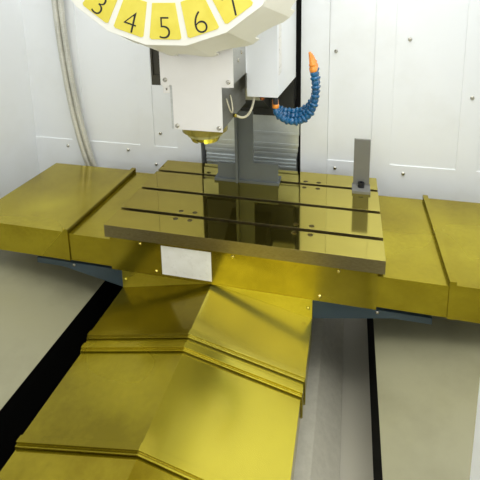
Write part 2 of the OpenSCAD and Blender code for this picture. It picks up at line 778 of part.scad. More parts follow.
module spindle_motor() {
    half = 52;
    flange = 58;
    z0 = tt + head_top;
    color([0.15, 0.15, 0.17]) placed() {
        block(-flange, flange, -flange, flange, z0, z0 + 14);
        rod([0, 0, z0 + 13], half - 2, 200, "z", 64);
        block(-half, half, -half, half, z0 + 40, z0 + 190);
        rod([0, 0, z0 + 212], half - 8, 24, "z", 64);
        block(half - 10, half + 26, -30, 30, z0 + 90, z0 + 160);
    }
}

hose_n = 3;
hose_y = 150;
hose_pitch = 21;
hose_links = 15;
hose_top = 298;
block_low = 338;
// route of the first hose, X from the spindle axis and height above the table top
hose_p = [[146, 292], [158, 268], [272, 256], [240, 395]];
hose_sag = 7;

function bez(p, t) = pow(1 - t, 3) * p[0] + 3 * t * pow(1 - t, 2) * p[1] + 3 * t * t * (1 - t) * p[2]
    + pow(t, 3) * p[3];

function hose_row(i) = hose_y + (i - 1) * hose_pitch;

function hose_start(i) = hose_p[0][0] - i * 4;

function hose_points(i) = [for (k = [0:hose_links]) let (p = bez(hose_p, k / hose_links))
    [p[0] - (1 - k / hose_links) * i * 4, hose_row(i), tt + p[1]
        - (hose_n - 1 - i) * hose_sag * sin(180 * k / hose_links)]];

module link(p, q, r1, r2, over) {
    d = q - p;
    l = norm(d);
    translate(p) rotate([0, acos(d[2] / l), atan2(d[1], d[0])]) cylinder(h = l + over, r1 = r1, r2 = r2, $fn = 24);
}

// manifold under the white box, with one outlet per hose
module coolant_block() {
    color([0.3, 0.31, 0.33]) placed() {
        block(box_x0 + sheet, box_x1 - sheet, hose_y - 34, hose_y + 34, tt + block_low, tt + block_low + 30);
        for (i = [0:hose_n - 1]) rod([hose_start(i), hose_row(i), tt + hose_top + 10], 6.5,
            block_low - hose_top - 10 + eps, "z", 24);
    }
}

module coolant_hoses() {
    color([0.05, 0.25, 0.5]) placed() for (i = [0:hose_n - 1]) {
        pt = hose_points(i);
        rod([hose_start(i), hose_row(i), tt + hose_p[0][1] - 3], 7.4, hose_top - hose_p[0][1] + 3, "z", 24);
        for (k = [0:hose_links - 1]) link(pt[k], pt[k + 1], 9.2, 6.6, k < hose_links - 1 ? 3 : 0);
    }
}

// orange nozzle at the free end of each hose and the collar at its other end
module hose_nozzles() {
    color([0.95, 0.45, 0.1]) placed() for (i = [0:hose_n - 1]) {
        pt = hose_points(i);
        tip = pt[hose_links];
        dir = (tip - pt[hose_links - 1]) / norm(tip - pt[hose_links - 1]);
        link(tip + 0.1 * dir, tip + 18 * dir, 9, 8.6, 0);
        link(tip + 17 * dir, tip + (50 - i * 8) * dir, 8, 3.4, 0);
        rod([hose_start(i), hose_row(i), tt + hose_top], 8.6, 10, "z", 24);
    }
}

// thin hose from the coolant block to the side of the head above the spindle flange
module air_hose() {
    start = [box_x0 + 14, hose_y - 26, tt + block_low];
    fitting = [58, 42, plate_low_z + 6];
    p = [start - [0, 0, 5], start - [4, 16, 62], fitting + [22, 14, -16], fitting + [8, 0, 0]];
    n = 12;
    color([0.9, 0.9, 0.82]) placed() {
        for (k = [0:n - 1]) link(bez(p, k / n), bez(p, (k + 1) / n), 3.2, 2.6, 2);
        rod(start - [0, 0, 8], 4.5, 8, "z", 24);
        rod(fitting, 4.5, 9, "x", 24);
    }
}

// dark guide bar on the left side of the head with its bracket
module cam_bars() {
    color([0.16, 0.17, 0.14]) placed() {
        difference() {
            block(-134, -104, 10, 52, tt + 376, tt + head_top - 20);
            block(-129, -109, 9, 14, tt + 400, tt + head_top - 19);
        }
        block(-110, -head_half_w, 22, 46, tt + 440, tt + 470);
        block(-110, -head_half_w, 22, 46, tt + 690, tt + 720);
    }
}

// ---- column cover, nested stages

z_stage_bottom = [93, 51, 31, 12];
z_stage_l = 100;

module z_stage(i, z0, z1) {
    y0 = throat + i * 3.5;
    half = z_cover_half_w - i * 2.5;
    lip = 9;
    color([0.6, 0.62, 0.64]) placed() translate([column_dx, 0, 0]) {
        block(-half, half, y0 + 1, y0 + 1 + sheet, z0, z1);
        for (s = [-1, 1]) block(s * (half - sheet / 2) - sheet / 2, s * (half - sheet / 2) + sheet / 2, y0 + 1,
            throat + 17.5, z0, z1);
        block(-half, half, y0, y0 + 1 + eps, z0, z0 + lip);
    }
}

module z_cover_top() { z_stage(0, tt + z_stage_bottom[0], tt + 165); }

module z_cover_stage2() { z_stage(1, tt + z_stage_bottom[1], tt + z_stage_bottom[1] + z_stage_l); }

module z_cover_stage3() { z_stage(2, tt + z_stage_bottom[2], tt + z_stage_bottom[2] + z_stage_l); }

module z_cover_stage4() { z_stage(3, tt + z_stage_bottom[3], tt + z_stage_bottom[3] + z_stage_l); }

module z_cover_fixed() {
    z0 = z_cover_low;
    y0 = throat + 14;
    half = z_cover_half_w - 10.5;
    color([0.6, 0.62, 0.64]) placed() translate([column_dx, 0, 0]) {
        block(-half, half, y0 + 1, y0 + 1 + sheet, z0, tt + 94);
        for (s = [-1, 1]) block(s * (half - 2) - 2, s * (half - 2) + 2, y0 + 1, column_y0, z0, 905);
        for (z = [-1, -14, -27, -47]) block(-half, half, y0 - 4, y0 + 1 + eps, tt + z - 6, tt + z);
    }
}

// ---- tool magazine

module at_magazine() {
    placed() translate([0, 0, mag_axis_z]) children();
}

function ring(r) = [for (k = [0:places - 1]) let (a = (k + 0.5) * 360 / places - 90) [r * cos(a), r * sin(a)]];

// many-sided frustum whose corners run from radius ra at y0 to rb at y1
module ring_y(y0, y1, ra, rb) {
    slice = 0.01;
    hull() {
        translate([0, y0 + slice, 0]) rotate([90, 0, 0]) linear_extrude(slice) polygon(ring(ra));
        translate([0, y1, 0]) rotate([90, 0, 0]) linear_extrude(slice) polygon(ring(rb));
    }
}

module magazine_drum() {
    t = 4;
    hub_r = 60;
    color([0.93, 0.93, 0.9]) at_magazine() difference() {
        union() {
            difference() {
                union() {
                    ring_y(-rim_y, -rim_y + 8, rim_r, rim_r);
                    ring_y(-rim_y + 8 - eps, -mag_back_y, rim_r, skirt_r);
                }
                ring_y(-rim_y + 12, -mag_back_y + 1, rim_r - t, skirt_r - t);
                // cut-outs along the rear edge, one per place, steep on one side
                for (k = [0:places - 1]) rotate([0, k * 360 / places, 0]) translate([0, -mag_back_y, -skirt_r])
                    linear_extrude(120, center = true) polygon([[-30, 1], [-30, -20], [-22, -24], [-6, -21],
                        [14, -12], [30, 1]]);
            }
            rod([0, -rim_y - 30, 0], hub_r, rim_y - 90, "y", 96);
        }
        rod([0, -rim_y - 20, 0], 25.05, rim_y, "y", 96);
    }
}

// raised number plates on the front face, one per place
module magazine_plates() {
    r0 = 172;
    r1 = 238;
    w0 = 22;
    w1 = 31;
    color([0.98, 0.85, 0.1]) at_magazine() for (k = [0:places - 1]) rotate([0, k * 360 / places, 0])
        translate([0, -rim_y, 0]) rotate([90, 0, 0]) linear_extrude(1)
            polygon([[-w0, -r0], [w0, -r0], [w1, -r1 + 3], [w1 - 4, -r1], [-w1 + 4, -r1], [-w1, -r1 + 3]]);
}

// ring with one gripper per place, inside the skirt
module magazine_arms() {
    y0 = -rim_y + 12;
    color([0.4, 0.41, 0.43]) at_magazine() {
        difference() {
            rod([0, y0, 0], 206, 30, "y", 96);
            rod([0, y0 - 1, 0], 190, 32, "y", 96);
        }
        for (k = [0:places - 1]) rotate([0, k * 360 / places, 0]) {
            translate([0, y0 + 14, -206 + eps - 34]) block(-7, 7, 0, 16, 0, 36);
            for (s = [-1, 1]) translate([s * 9, y0 + 14, -206 - 38]) block(-4, 4, 0, 46, 0, 22);
        }
    }
}

module magazine_bracket() {
    arm_x = mag_arm_x;
    color([0.9, 0.9, 0.87]) at_magazine() {
        for (s = [-1, 1]) block(s * arm_x - 8, s * arm_x + 8, -110, column_y0, -36, 44);
        difference() {
            block(-arm_x - 8, arm_x + 8, -110, -98, -56, 56);
            for (s = [-1, 1]) rod([s * 120, -111, 0], 22, 14, "y", 48);
        }
        rod([0, -rim_y - 10, 0], 25, rim_y - 90 + eps, "y", 96);
        // drive motor beside the hub
        rod([0, -170, 118], 42, 61, "y", 64);
        block(-30, 30, -111, -98, 50, 150);
    }
}

// ---- enclosure

wall_t = 18;
wall_skin = 2.5;
seam_z = tt + 12;

module rear_wall() {
    rib = 3;
    half = z_cover_half_w + strip_gap + strip_w + 0.5;
    left_edge = column_dx - half;
    right_edge = column_dx + half;
    inner = wall_half_x - wall_skin;
    color([0.93, 0.93, 0.9]) placed() {
        for (span = [[-inner, left_edge], [right_edge, inner]]) {
            block(span[0], span[1], back_wall_y, back_wall_y + sheet, 640, wall_top - 3);
            block(span[0], span[1], back_wall_y - rib, back_wall_y + eps, 640, seam_z);
        }
        for (x = [-690, -401, 431, 690]) block(x - 30, x + 30, back_wall_y - rib, back_wall_y + eps, seam_z - eps,
            wall_top - 30);
        // feet of the wall against the column base
        for (s = [-1, 1]) block(s * 310 - 38, s * 310 + 38, back_wall_y + sheet - eps, back_wall_y + 40, 640, 652);
        for (s = [-1, 1]) block(s * 310 - 12, s * 310 + 12, back_wall_y + 14, back_wall_y + 40, base_top, 641);
    }
}

module wall_screws() {
    high = [[-346, 63], [281, 385], [503, 427], [-742, 470], [690, 250]];
    low = [[-742, -15], [-481, -11], [-369, -60], [286, -15], [504, -15], [742, -15]];
    color([0.8, 0.8, 0.78]) placed() {
        for (p = high) screw_front([p[0], back_wall_y - (abs(p[0]) == 690 ? 3 : 0), tt + p[1]], 6, 5);
        for (p = low) screw_front([p[0], back_wall_y - 3, tt + p[1]], 6, 5);
    }
}

// side walls, front wall with the door opening, door tracks and the canopy that carries the panel
module shell_panels() {
    skin = wall_skin;
    track = 2.7;
    low = base_bottom - 10;
    outer = wall_half_x;
    color([0.9, 0.9, 0.88]) placed() {
        for (s = [-1, 1]) scale([s, 1, 1]) {
            block(outer - skin, outer, -front_wall_y, 940, low, wall_top);
            for (z = [low, wall_top - 3]) block(outer - wall_t, outer - skin + eps, -front_wall_y + 1, 940, z, z + 3);
            for (y = [-380, -60, 260, 560, 937]) block(outer - wall_t, outer - skin + eps, y, y + 3, low, wall_top);
        }
        difference() {
            block(-outer + 1, outer - 1, -front_wall_y, -front_wall_y + wall_t, low, wall_top);
            block(-outer + 2.4, -door_half - 3, -front_wall_y + skin, -front_wall_y + wall_t + 1, low + 3, wall_top - 3);
            block(door_half + 3, outer - 2.4, -front_wall_y + skin, -front_wall_y + wall_t + 1, low + 3, wall_top - 3);
            block(-door_half - 4, door_half + 4, -front_wall_y + skin, -front_wall_y + wall_t + 1, low + 3, sill_z - 3);
            block(-door_half - 4, door_half + 4, -front_wall_y + skin, -front_wall_y + wall_t + 1, lintel_z + 3,
                wall_top - 3);
            block(-door_half, door_half, -front_wall_y - 1, -front_wall_y + wall_t + 1, sill_z, lintel_z);
        }
        for (z = [sill_z - 46, lintel_z + 34]) block(-outer + 10, outer - 10, -front_wall_y - track,
            -front_wall_y + eps, z, z + 12);
        difference() {
            block(panel_x - 160, panel_x + 160, -front_y + 20, -front_wall_y + eps, wall_top - 70, wall_top);
            block(panel_x - 157, panel_x + 157, -front_y + 23, -front_wall_y - 3, wall_top - 67, wall_top - 3);
        }
        // cross bars that tie the side walls to the base
        for (s = [-1, 1]) scale([s, 1, 1]) block(base_half_w, outer - skin + eps, 820, 860, 300, 340);
    }
}

// sloped sheets that lead the chips down beside the base
module chip_guides() {
    t = 3;
    inner = wall_half_x - wall_t;
    rear_end = back_wall_y - 17;
    // side, distance of the fold from the base, height of the shelf
    color([0.85, 0.85, 0.82]) placed() for (g = [[-1, 36, 340], [1, 74, 372]]) scale([g[0], 1, 1]) {
        fold_x = base_half_w + g[1];
        translate([0, rear_end, 0]) rotate([90, 0, 0]) linear_extrude(rear_end + front_wall_y - wall_t)
            polygon([[inner, 700], [inner, 700 - t], [fold_x + t, 600], [fold_x + t, g[2]], [base_half_w, g[2]],
                [base_half_w, g[2] + t], [fold_x, g[2] + t], [fold_x, 600 + t]]);
    }
}

door_w = door_half + 14;
door_y = front_wall_y + 3;

module door(s) {
    x0 = door_w + 3;
    th = 26;
    z0 = sill_z - 60;
    z1 = lintel_z + 60;
    win = [70, 330, 1150, 1640];
    color([0.9, 0.9, 0.88]) placed() scale([s, 1, 1]) {
        difference() {
            block(x0, x0 + door_w, -door_y - th, -door_y, z0, z1);
            block(x0 + win[0], x0 + win[1], -door_y - th - 1, -door_y - 16, win[2], win[3]);
            block(x0 + win[0], x0 + win[1], -door_y - 10, -door_y + 1, win[2], win[3]);
        }
        for (z = [1180, 1500]) block(x0 + 22, x0 + 38, -door_y - th - 34, -door_y - th + eps, z, z + 18);
        rod([x0 + 30, -door_y - th - 34, 1160], 12, 378, "z", 32);
    }
}

module left_door() { door(-1); }

module right_door() { door(1); }

panel_x = wall_half_x - 190;
panel_z = [1120, 1640];
panel_face = front_y - 30;
control_dx = 95;
button_z = 1540;
knob_z = 1470;
stem_r = 13;
wheel_dx = 90;
wheel_z = 1250;
wheel_shaft_r = 8;

// hanging operator panel with screen, key fields, bare name field and the collar of each control
module operator_panel() {
    w = 150;
    back = panel_face - 90;
    color([0.85, 0.86, 0.86]) placed() {
        difference() {
            block(panel_x - w, panel_x + w, -panel_face, -back, panel_z[0], panel_z[1]);
            block(panel_x - 110, panel_x + 60, -panel_face - 1, -panel_face + 4, 1440, 1590);
            for (z = [button_z, knob_z]) rod([panel_x + control_dx, -panel_face - 1, z], stem_r + 0.3, 30, "y", 48);
            rod([panel_x + wheel_dx, -panel_face - 1, wheel_z], wheel_shaft_r + 0.3, 14, "y", 48);
        }
        for (r = [0:4]) for (c = [0:7]) block(panel_x - 120 + c * 23, panel_x - 102 + c * 23, -panel_face - 2.5,
            -panel_face + eps, 1400 - r * 24, 1418 - r * 24);
        for (c = [0:5]) block(panel_x - 120 + c * 30, panel_x - 98 + c * 30, -panel_face - 2.5, -panel_face + eps,
            1180, 1202);
        rod([panel_x, -front_y + 60, panel_z[1] - eps], 28, wall_top - 70 - panel_z[1] + eps, "z", 48);
    }
}

module emergency_button() {
    color([0.85, 0.05, 0.05]) placed() {
        rod([panel_x + control_dx, -panel_face - 22, button_z], 19, 14, "y", 48);
        rod([panel_x + control_dx, -panel_face - 8 - eps, button_z], stem_r, 24, "y", 48);
    }
}

module feed_knob() {
    x = panel_x + control_dx;
    color([0.1, 0.1, 0.1]) placed() {
        rod([x, -panel_face - 16, knob_z], 16, 12, "y", 48);
        rod([x, -panel_face - 4 - eps, knob_z], stem_r, 18, "y", 48);
        block(x - 2, x + 2, -panel_face - 22, -panel_face - 16 + eps, knob_z - 12, knob_z + 12);
    }
}

// hand wheel for moving the axes by hand, with its crank grip and shaft
module hand_wheel() {
    x = panel_x + wheel_dx;
    color([0.12, 0.12, 0.12]) placed() {
        rod([x, -panel_face - 10, wheel_z], 32, 9.7, "y", 64);
        rod([x, -front_y, wheel_z + 22], 6, 21, "y", 32);
        rod([x, -panel_face - 1, wheel_z], wheel_shaft_r, 12, "y", 48);
    }
}

// two cable conduits that come down the rear wall on the left, and their end glands
module conduits() {
    y = back_wall_y - 30;
    n = 16;
    // route across the rear wall, X from the left wall and height above the table top
    p = [[172, 600], [172, 380], [196, 60], [264, -112]];
    apart = 24;
    cover = 20;
    color([0.75, 0.76, 0.75]) placed() translate([-wall_half_x, 0, 0]) {
        for (i = [0, 1]) for (k = [0:n - 1]) {
            a = bez(p, k / n);
            b = bez(p, (k + 1) / n);
            link([a[0] + i * apart, y, tt + a[1]], [b[0] + i * apart, y, tt + b[1]], 12 - i * 1.5, 11 - i * 1.5, 2);
        }
        for (e = [[p[0], 590, 60], [p[3], -155, 50]]) block(e[0][0] - cover, e[0][0] + apart + cover, y - 17,
            back_wall_y - 3, tt + e[1], tt + e[1] + e[2]);
    }
}

cab_x = 450;
cab_y = 1196;
hinge_pin_r = 3;
hinge_dx = 6;
hinge_z = [420, 1080, 1740];

module rear_cabinet() {
    color([0.88, 0.88, 0.86]) placed() {
        difference() {
            block(-cab_x, cab_x, 975, cab_y, 300, 1900);
            block(-cab_x + 3, cab_x - 3, 978, cab_y + 1, 303, 1897);
        }
        block(-cab_x + 60, cab_x - 60, 1009, 1016, 380, 1820);
        for (sx = [-1, 1]) for (z = [420, 1780]) rod([sx * 360, 977, z], 12, 33, "y", 32);
        for (r = [0:3]) for (c = [0:4]) block(-350 + c * 145, -245 + c * 145, 1015, 1120, 480 + r * 320, 700 + r * 320);
        for (s = [-1, 1]) block(s * 260 - 30, s * 260 + 30, base_rear, 976, 310, 400);
        // hinge pins on their lugs, on the left edge
        for (z = hinge_z) {
            block(-cab_x - hinge_dx - 5, -cab_x + eps, cab_y - 22, cab_y + 8, z, z + 12);
            rod([-cab_x - hinge_dx, cab_y + 3, z + 12 - eps], hinge_pin_r, 40, "z", 32);
        }
    }
}

module cabinet_door() {
    color([0.88, 0.88, 0.86]) placed() {
        block(-cab_x + 2, cab_x - 2, cab_y + 0.4, cab_y + 6, 305, 1895);
        block(cab_x - 70, cab_x - 40, cab_y + 6 - eps, rear_y, 1050, 1180);
        for (z = hinge_z) difference() {
            union() {
                rod([-cab_x - hinge_dx, cab_y + 3, z + 12.3], hinge_pin_r + 2.5, 37, "z", 32);
                block(-cab_x - hinge_dx, -cab_x + 3, cab_y + 3, cab_y + 6, z + 12.3, z + 49.3);
            }
            rod([-cab_x - hinge_dx, cab_y + 3, z], hinge_pin_r + 0.05, 60, "z", 32);
        }
    }
}

// coolant tank under the left side, with the pump on its lid
module coolant_tank() {
    left = -wall_half_x + wall_t + 0.3;
    color([0.85, 0.85, 0.83]) placed() {
        difference() {
            block(left, -372, -640, -60, 0, 250);
            block(left + 3, -375, -637, -63, 3, 240);
        }
        rod([-620, -420, 249], 62, 12, "z", 64);
        rod([-620, -420, 260], 48, 150, "z", 64);
        rod([-620, -420, 409], 40, 18, "z", 64);
    }
}

base_casting();
levelling_feet();
column_casting();
column_strips();
guide_rails();
axis_drives();
y_cover_stage4();
y_cover_stage3();
y_cover_stage2();
y_cover_stage1();
saddle_casting();
saddle_front_plate();
y_rear_cover();
x_rails();
x_drive();
table_casting();
table_plugs();
table_aprons();
apron_screws();
x_cover_inner_left();
x_cover_inner_right();
x_cover_outer_left();
x_cover_outer_right();
table_brackets();
bracket_bolts();
head_casting();
head_front_plate();
head_plate_screws();
head_side_box();
spindle_cartridge();
spindle();
spindle_motor();
coolant_block();
coolant_hoses();
hose_nozzles();
air_hose();
cam_bars();
z_cover_top();
z_cover_stage2();
z_cover_stage3();
z_cover_stage4();
z_cover_fixed();
magazine_bracket();
magazine_drum();
magazine_plates();
magazine_arms();
rear_wall();
wall_screws();
shell_panels();
chip_guides();
left_door();
right_door();
operator_panel();
emergency_button();
feed_knob();
hand_wheel();
conduits();
rear_cabinet();
cabinet_door();
coolant_tank();
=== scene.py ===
import json
import math

import bpy
from mathutils import Matrix, Vector


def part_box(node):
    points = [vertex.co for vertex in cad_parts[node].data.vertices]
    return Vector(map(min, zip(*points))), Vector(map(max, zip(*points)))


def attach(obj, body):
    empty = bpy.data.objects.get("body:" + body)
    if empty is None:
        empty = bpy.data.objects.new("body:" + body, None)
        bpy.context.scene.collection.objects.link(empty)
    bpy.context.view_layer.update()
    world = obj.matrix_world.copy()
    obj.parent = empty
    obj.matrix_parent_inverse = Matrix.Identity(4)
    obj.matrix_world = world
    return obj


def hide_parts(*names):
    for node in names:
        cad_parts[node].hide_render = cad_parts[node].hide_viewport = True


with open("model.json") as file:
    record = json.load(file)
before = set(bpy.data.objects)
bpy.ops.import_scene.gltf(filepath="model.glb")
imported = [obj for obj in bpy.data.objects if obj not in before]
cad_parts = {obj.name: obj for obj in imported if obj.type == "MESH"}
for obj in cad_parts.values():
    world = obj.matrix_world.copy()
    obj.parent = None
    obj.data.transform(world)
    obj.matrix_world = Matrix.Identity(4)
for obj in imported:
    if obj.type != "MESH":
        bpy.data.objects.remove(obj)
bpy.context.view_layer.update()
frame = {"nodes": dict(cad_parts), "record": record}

# Places from the machine's own layout, in metres
SPINDLE_Y = -0.155
TABLE_TOP = 0.860
MAG_AXIS = Vector((0.0, SPINDLE_Y, 1.616))
PLACES = 20
BOTTOM_NUMBER = 5
TABLE_X = 0.066
X, Y, Z = 0, 1, 2

# Where a finish changes on one casting or sheet, in metres; some of these bound painted shade and
# painted light
GUIDE_PAINTED_SHADE_BELOW = 0.6025
GUIDE_SHELF_BELOW = 0.50
BAR_FROM_X = 0.30
COLUMN_FRONT_Y = 0.392
SHELL_SIDE_X = 0.8885
SHELL_FRONT_Y = -0.8485
SHELL_FOOT_TOP = 0.24
JOINT_HALF_WIDTH = 0.0012
SPINDLE_FLANGE_Z = (1.124, 1.136)
HEAD_PAINTED_SHADE_Z = (1.22, 1.36)
HEAD_REAR_Y = 0.18
PANE_X = (0.494, 0.760)
PANE_Y = (-0.8758, -0.8662)
PANE_Z = (1.148, 1.642)


# Small helpers

def srgb(r, g, b):
    """A colour given by its 0-255 screen values, as the linear RGBA that a shader takes."""
    def linear(v):
        v = v / 255.0
        return v / 12.92 if v <= 0.04045 else ((v + 0.055) / 1.055) ** 2.4
    return (linear(r), linear(g), linear(b), 1.0)


def smooth_step(low, high, x):
    """Rises smoothly from 0 at low to 1 at high."""
    t = min(1.0, max(0.0, (x - low) / (high - low)))
    return t * t * (3.0 - 2.0 * t)


class Finish:
    """A procedural material, built from a few steps."""

    def __init__(self, name):
        self.material = bpy.data.materials.new(name)
        self.material.use_nodes = True
        self.tree = self.material.node_tree
        self.shader = self.tree.nodes["Principled BSDF"]
        self.coords = self.node("ShaderNodeTexCoord").outputs["Object"]
        self.normal_in = None

    def node(self, kind, **settings):
        made = self.tree.nodes.new(kind)
        for key, value in settings.items():
            setattr(made, key, value)
        return made

    def put(self, socket, value):
        if isinstance(value, bpy.types.NodeSocket):
            self.tree.links.new(value, socket)
        else:
            socket.default_value = value

    def set(self, name, value):
        self.put(self.shader.inputs[name], value)

    def driving(self, name):
        """The socket that drives an input of the shader."""
        return self.shader.inputs[name].links[0].from_socket

    def math(self, operation, a, b=0.0):
        made = self.node("ShaderNodeMath", operation=operation)
        self.put(made.inputs[0], a)
        self.put(made.inputs[1], b)
        return made.outputs[0]

    def noise(self, scale, detail=4.0, roughness=0.55, stretch=(1, 1, 1), distortion=0.0):
        mapping = self.node("ShaderNodeMapping")
        self.put(mapping.inputs["Vector"], self.coords)
        mapping.inputs["Scale"].default_value = stretch
        made = self.node("ShaderNodeTexNoise")
        self.put(made.inputs["Vector"], mapping.outputs[0])
        made.inputs["Scale"].default_value = scale
        made.inputs["Detail"].default_value = detail
        made.inputs["Roughness"].default_value = roughness
        made.inputs["Distortion"].default_value = distortion
        return made.outputs["Fac"]

    def range(self, value, low, high, to_low=0.0, to_high=1.0):
        made = self.node("ShaderNodeMapRange")
        self.put(made.inputs["Value"], value)
        for key, number in zip(("From Min", "From Max", "To Min", "To Max"),
                               (low, high, to_low, to_high)):
            made.inputs[key].default_value = number
        return made.outputs[0]

    def mix(self, factor, a, b):
        made = self.node("ShaderNodeMix", data_type="RGBA", blend_type="MIX")
        self.put(made.inputs[0], factor)
        self.put(made.inputs[6], a)
        self.put(made.inputs[7], b)
        return made.outputs[2]

    def part(self, axis):
        """One coordinate of the place, in metres."""
        made = self.node("ShaderNodeSeparateXYZ")
        self.put(made.inputs[0], self.coords)
        return made.outputs[axis]

    def facing(self, axis):
        """One part of the outward direction, from -1 to 1."""
        geometry = self.node("ShaderNodeNewGeometry")
        made = self.node("ShaderNodeSeparateXYZ")
        self.put(made.inputs[0], geometry.outputs["Normal"])
        return made.outputs[axis]

    def between(self, axis, low, high):
        """1 where the coordinate lies between low and high."""
        value = self.part(axis)
        return self.math("MULTIPLY", self.math("GREATER_THAN", value, low),
                         self.math("LESS_THAN", value, high))

    def round_edges(self, radius):
        """Lets sharp edges catch the light as if they were rounded."""
        made = self.node("ShaderNodeBevel", samples=4)
        made.inputs["Radius"].default_value = radius
        self.normal_in = made.outputs[0]
        self.set("Normal", self.normal_in)

    def bump(self, height, strength, distance):
        made = self.node("ShaderNodeBump")
        made.inputs["Strength"].default_value = strength
        made.inputs["Distance"].default_value = distance
        self.put(made.inputs["Height"], height)
        if self.normal_in:
            self.put(made.inputs["Normal"], self.normal_in)
        self.normal_in = made.outputs[0]
        self.set("Normal", self.normal_in)


# Materials

def oiled_sheet(name, light, dark, rough=(0.14, 0.30), streak=(1, 1, 1), metal=0.94, wave=0.05):
    """Metal under a thick olive-gold oil film: soft patches, wiped streaks and a wet sheen."""
    f = Finish(name)
    cloud = f.noise(3.2, 1.5, 0.45, distortion=0.4)
    wipe = f.noise(9.0, 2.0, 0.5, streak)
    grain = f.noise(90.0, 3.0, 0.6)
    blend = f.math("ADD", f.math("MULTIPLY", cloud, 0.55), f.math("MULTIPLY", wipe, 0.30))
    tone = f.range(f.math("ADD", blend, f.math("MULTIPLY", grain, 0.15)), 0.36, 0.64)
    f.set("Base Color", f.mix(tone, dark, light))
    f.set("Metallic", metal)
    f.set("Roughness", f.range(cloud, 0.35, 0.65, rough[0], rough[1]))
    f.set("Coat Weight", 0.12)
    f.set("Coat Roughness", 0.06)
    f.round_edges(0.0005)
    f.bump(f.noise(6.0, 0.0, 0.4), wave, 0.002)
    return f


def paint(name, colour, shade, rough=0.38, grain=900.0, depth=0.12, dirt=0.25):
    """Sprayed paint with a faint orange peel and a few greasy smudges."""
    f = Finish(name)
    smudge = f.range(f.noise(5.0, 5.0, 0.6), 0.50, 0.80)
    f.set("Base Color", f.mix(f.math("MULTIPLY", smudge, dirt), colour, shade))
    f.set("Roughness", f.range(f.noise(24.0, 4.0), 0.3, 0.7, rough - 0.06, rough + 0.10))
    f.round_edges(0.0012)
    f.bump(f.noise(grain, 2.0), depth, 0.0004)
    return f


def brushed(name, light, dark, along=(1, 1, 40), rough=(0.26, 0.44), metal=1.0):
    """Bare steel with the lines of the brush or of the grinding wheel."""
    f = Finish(name)
    lines = f.noise(60.0, 5.0, 0.7, along)
    cloud = f.noise(6.0, 4.0, 0.6)
    f.set("Base Color", f.mix(f.range(f.math("ADD", lines, cloud), 0.7, 1.3), dark, light))
    f.set("Metallic", metal)
    f.set("Roughness", f.range(lines, 0.3, 0.7, rough[0], rough[1]))
    f.round_edges(0.0008)
    f.bump(lines, 0.08, 0.0006)
    return f


def moulded(name, colour, shade, rough=0.32, coat=0.0):
    """Moulded plastic or a smooth coating, with a very fine grain."""
    f = Finish(name)
    f.set("Base Color", f.mix(f.range(f.noise(30.0, 5.0), 0.35, 0.7), shade, colour))
    f.set("Roughness", f.range(f.noise(90.0, 3.0), 0.3, 0.7, rough - 0.05, rough + 0.08))
    f.set("Coat Weight", coat)
    f.round_edges(0.0006)
    f.bump(f.noise(1400.0, 2.0), 0.08, 0.0002)
    return f


def table_finish():
    """Ground top under oil: darker brown at the left, paling toward the right as a painted
    highlight; raw brownish sides.
    """
    f = oiled_sheet("table_oiled_iron", srgb(196, 176, 48), srgb(176, 156, 32), (0.03, 0.08),
                    (1, 3, 1), 0.98, 0.012)
    # Left-to-right blend: darker brown at the left, paler at the right where a painted highlight
    # stands in for the lamp's reflection
    along = f.range(f.part(X), -0.30, 0.40)
    first = f.driving("Base Color")
    oil_tone_and_painted_highlight = f.mix(along, f.mix(0.55, first, srgb(122, 104, 22)),
                   f.mix(0.45, first, srgb(226, 216, 128)))
    sides = f.range(f.facing(Z), 0.45, 0.75, 1.0, 0.0)
    raw = f.mix(f.noise(120.0, 5.0, 0.7, (1, 1, 3)), srgb(158, 148, 112), srgb(112, 100, 62))
    f.set("Base Color", f.mix(sides, oil_tone_and_painted_highlight, raw))
    f.set("Roughness", f.math("ADD", f.driving("Roughness"), f.math("MULTIPLY", sides, 0.35)))
    return f


def roof_finish(name, left, right, dark):
    """A telescopic cover under oil whose right slope is painted paler than its left: painted light
    falling from the right.
    """
    f = oiled_sheet(name, left, dark, (0.15, 0.28), (1, 1, 2), 0.82)
    first = f.driving("Base Color")
    # Painted light: faces turned to the right get the paler lit colour
    painted_lit_slope = f.range(f.facing(X), -0.05, 0.15)
    f.set("Base Color", f.mix(painted_lit_slope, first, f.mix(0.35, right, first)))
    return f


def split_finish(f, where, colour, rough):
    """Changes a finish where the mask is 1."""
    first = f.driving("Base Color")
    level = f.driving("Roughness")
    f.set("Base Color", f.mix(where, first, colour))
    f.set("Roughness", f.math("MAXIMUM", level, f.math("MULTIPLY", where, rough)))
    return f


def guide_finish():
    """Greasy grey chip sheets; their upright sides under the covers are painted near-black as
    painted shade, and their low shelf is painted pale as painted light.
    """
    f = paint("guide_grey", srgb(146, 142, 112), srgb(110, 106, 80), 0.4, 500.0, 0.2, 0.6)
    # Painted shade: low upright faces of the guides go near-black with little specular
    painted_shade_upright = f.math("MULTIPLY", f.range(f.facing(Z), 0.2, 0.5, 1.0, 0.0),
                     f.math("LESS_THAN", f.part(Z), GUIDE_PAINTED_SHADE_BELOW))
    split_finish(f, painted_shade_upright, srgb(5, 5, 4), 0.8)
    f.set("Specular IOR Level", f.range(painted_shade_upright, 0.0, 1.0, 0.5, 0.05))
    # Painted light: the low upward shelf is painted pale against the shade under the covers
    painted_light_shelf = f.math("LESS_THAN", f.part(Z), GUIDE_SHELF_BELOW)
    return split_finish(f, f.math("MULTIPLY", painted_light_shelf, f.range(f.facing(Z), 0.2, 0.5)),
                        srgb(196, 190, 168), 0.5)


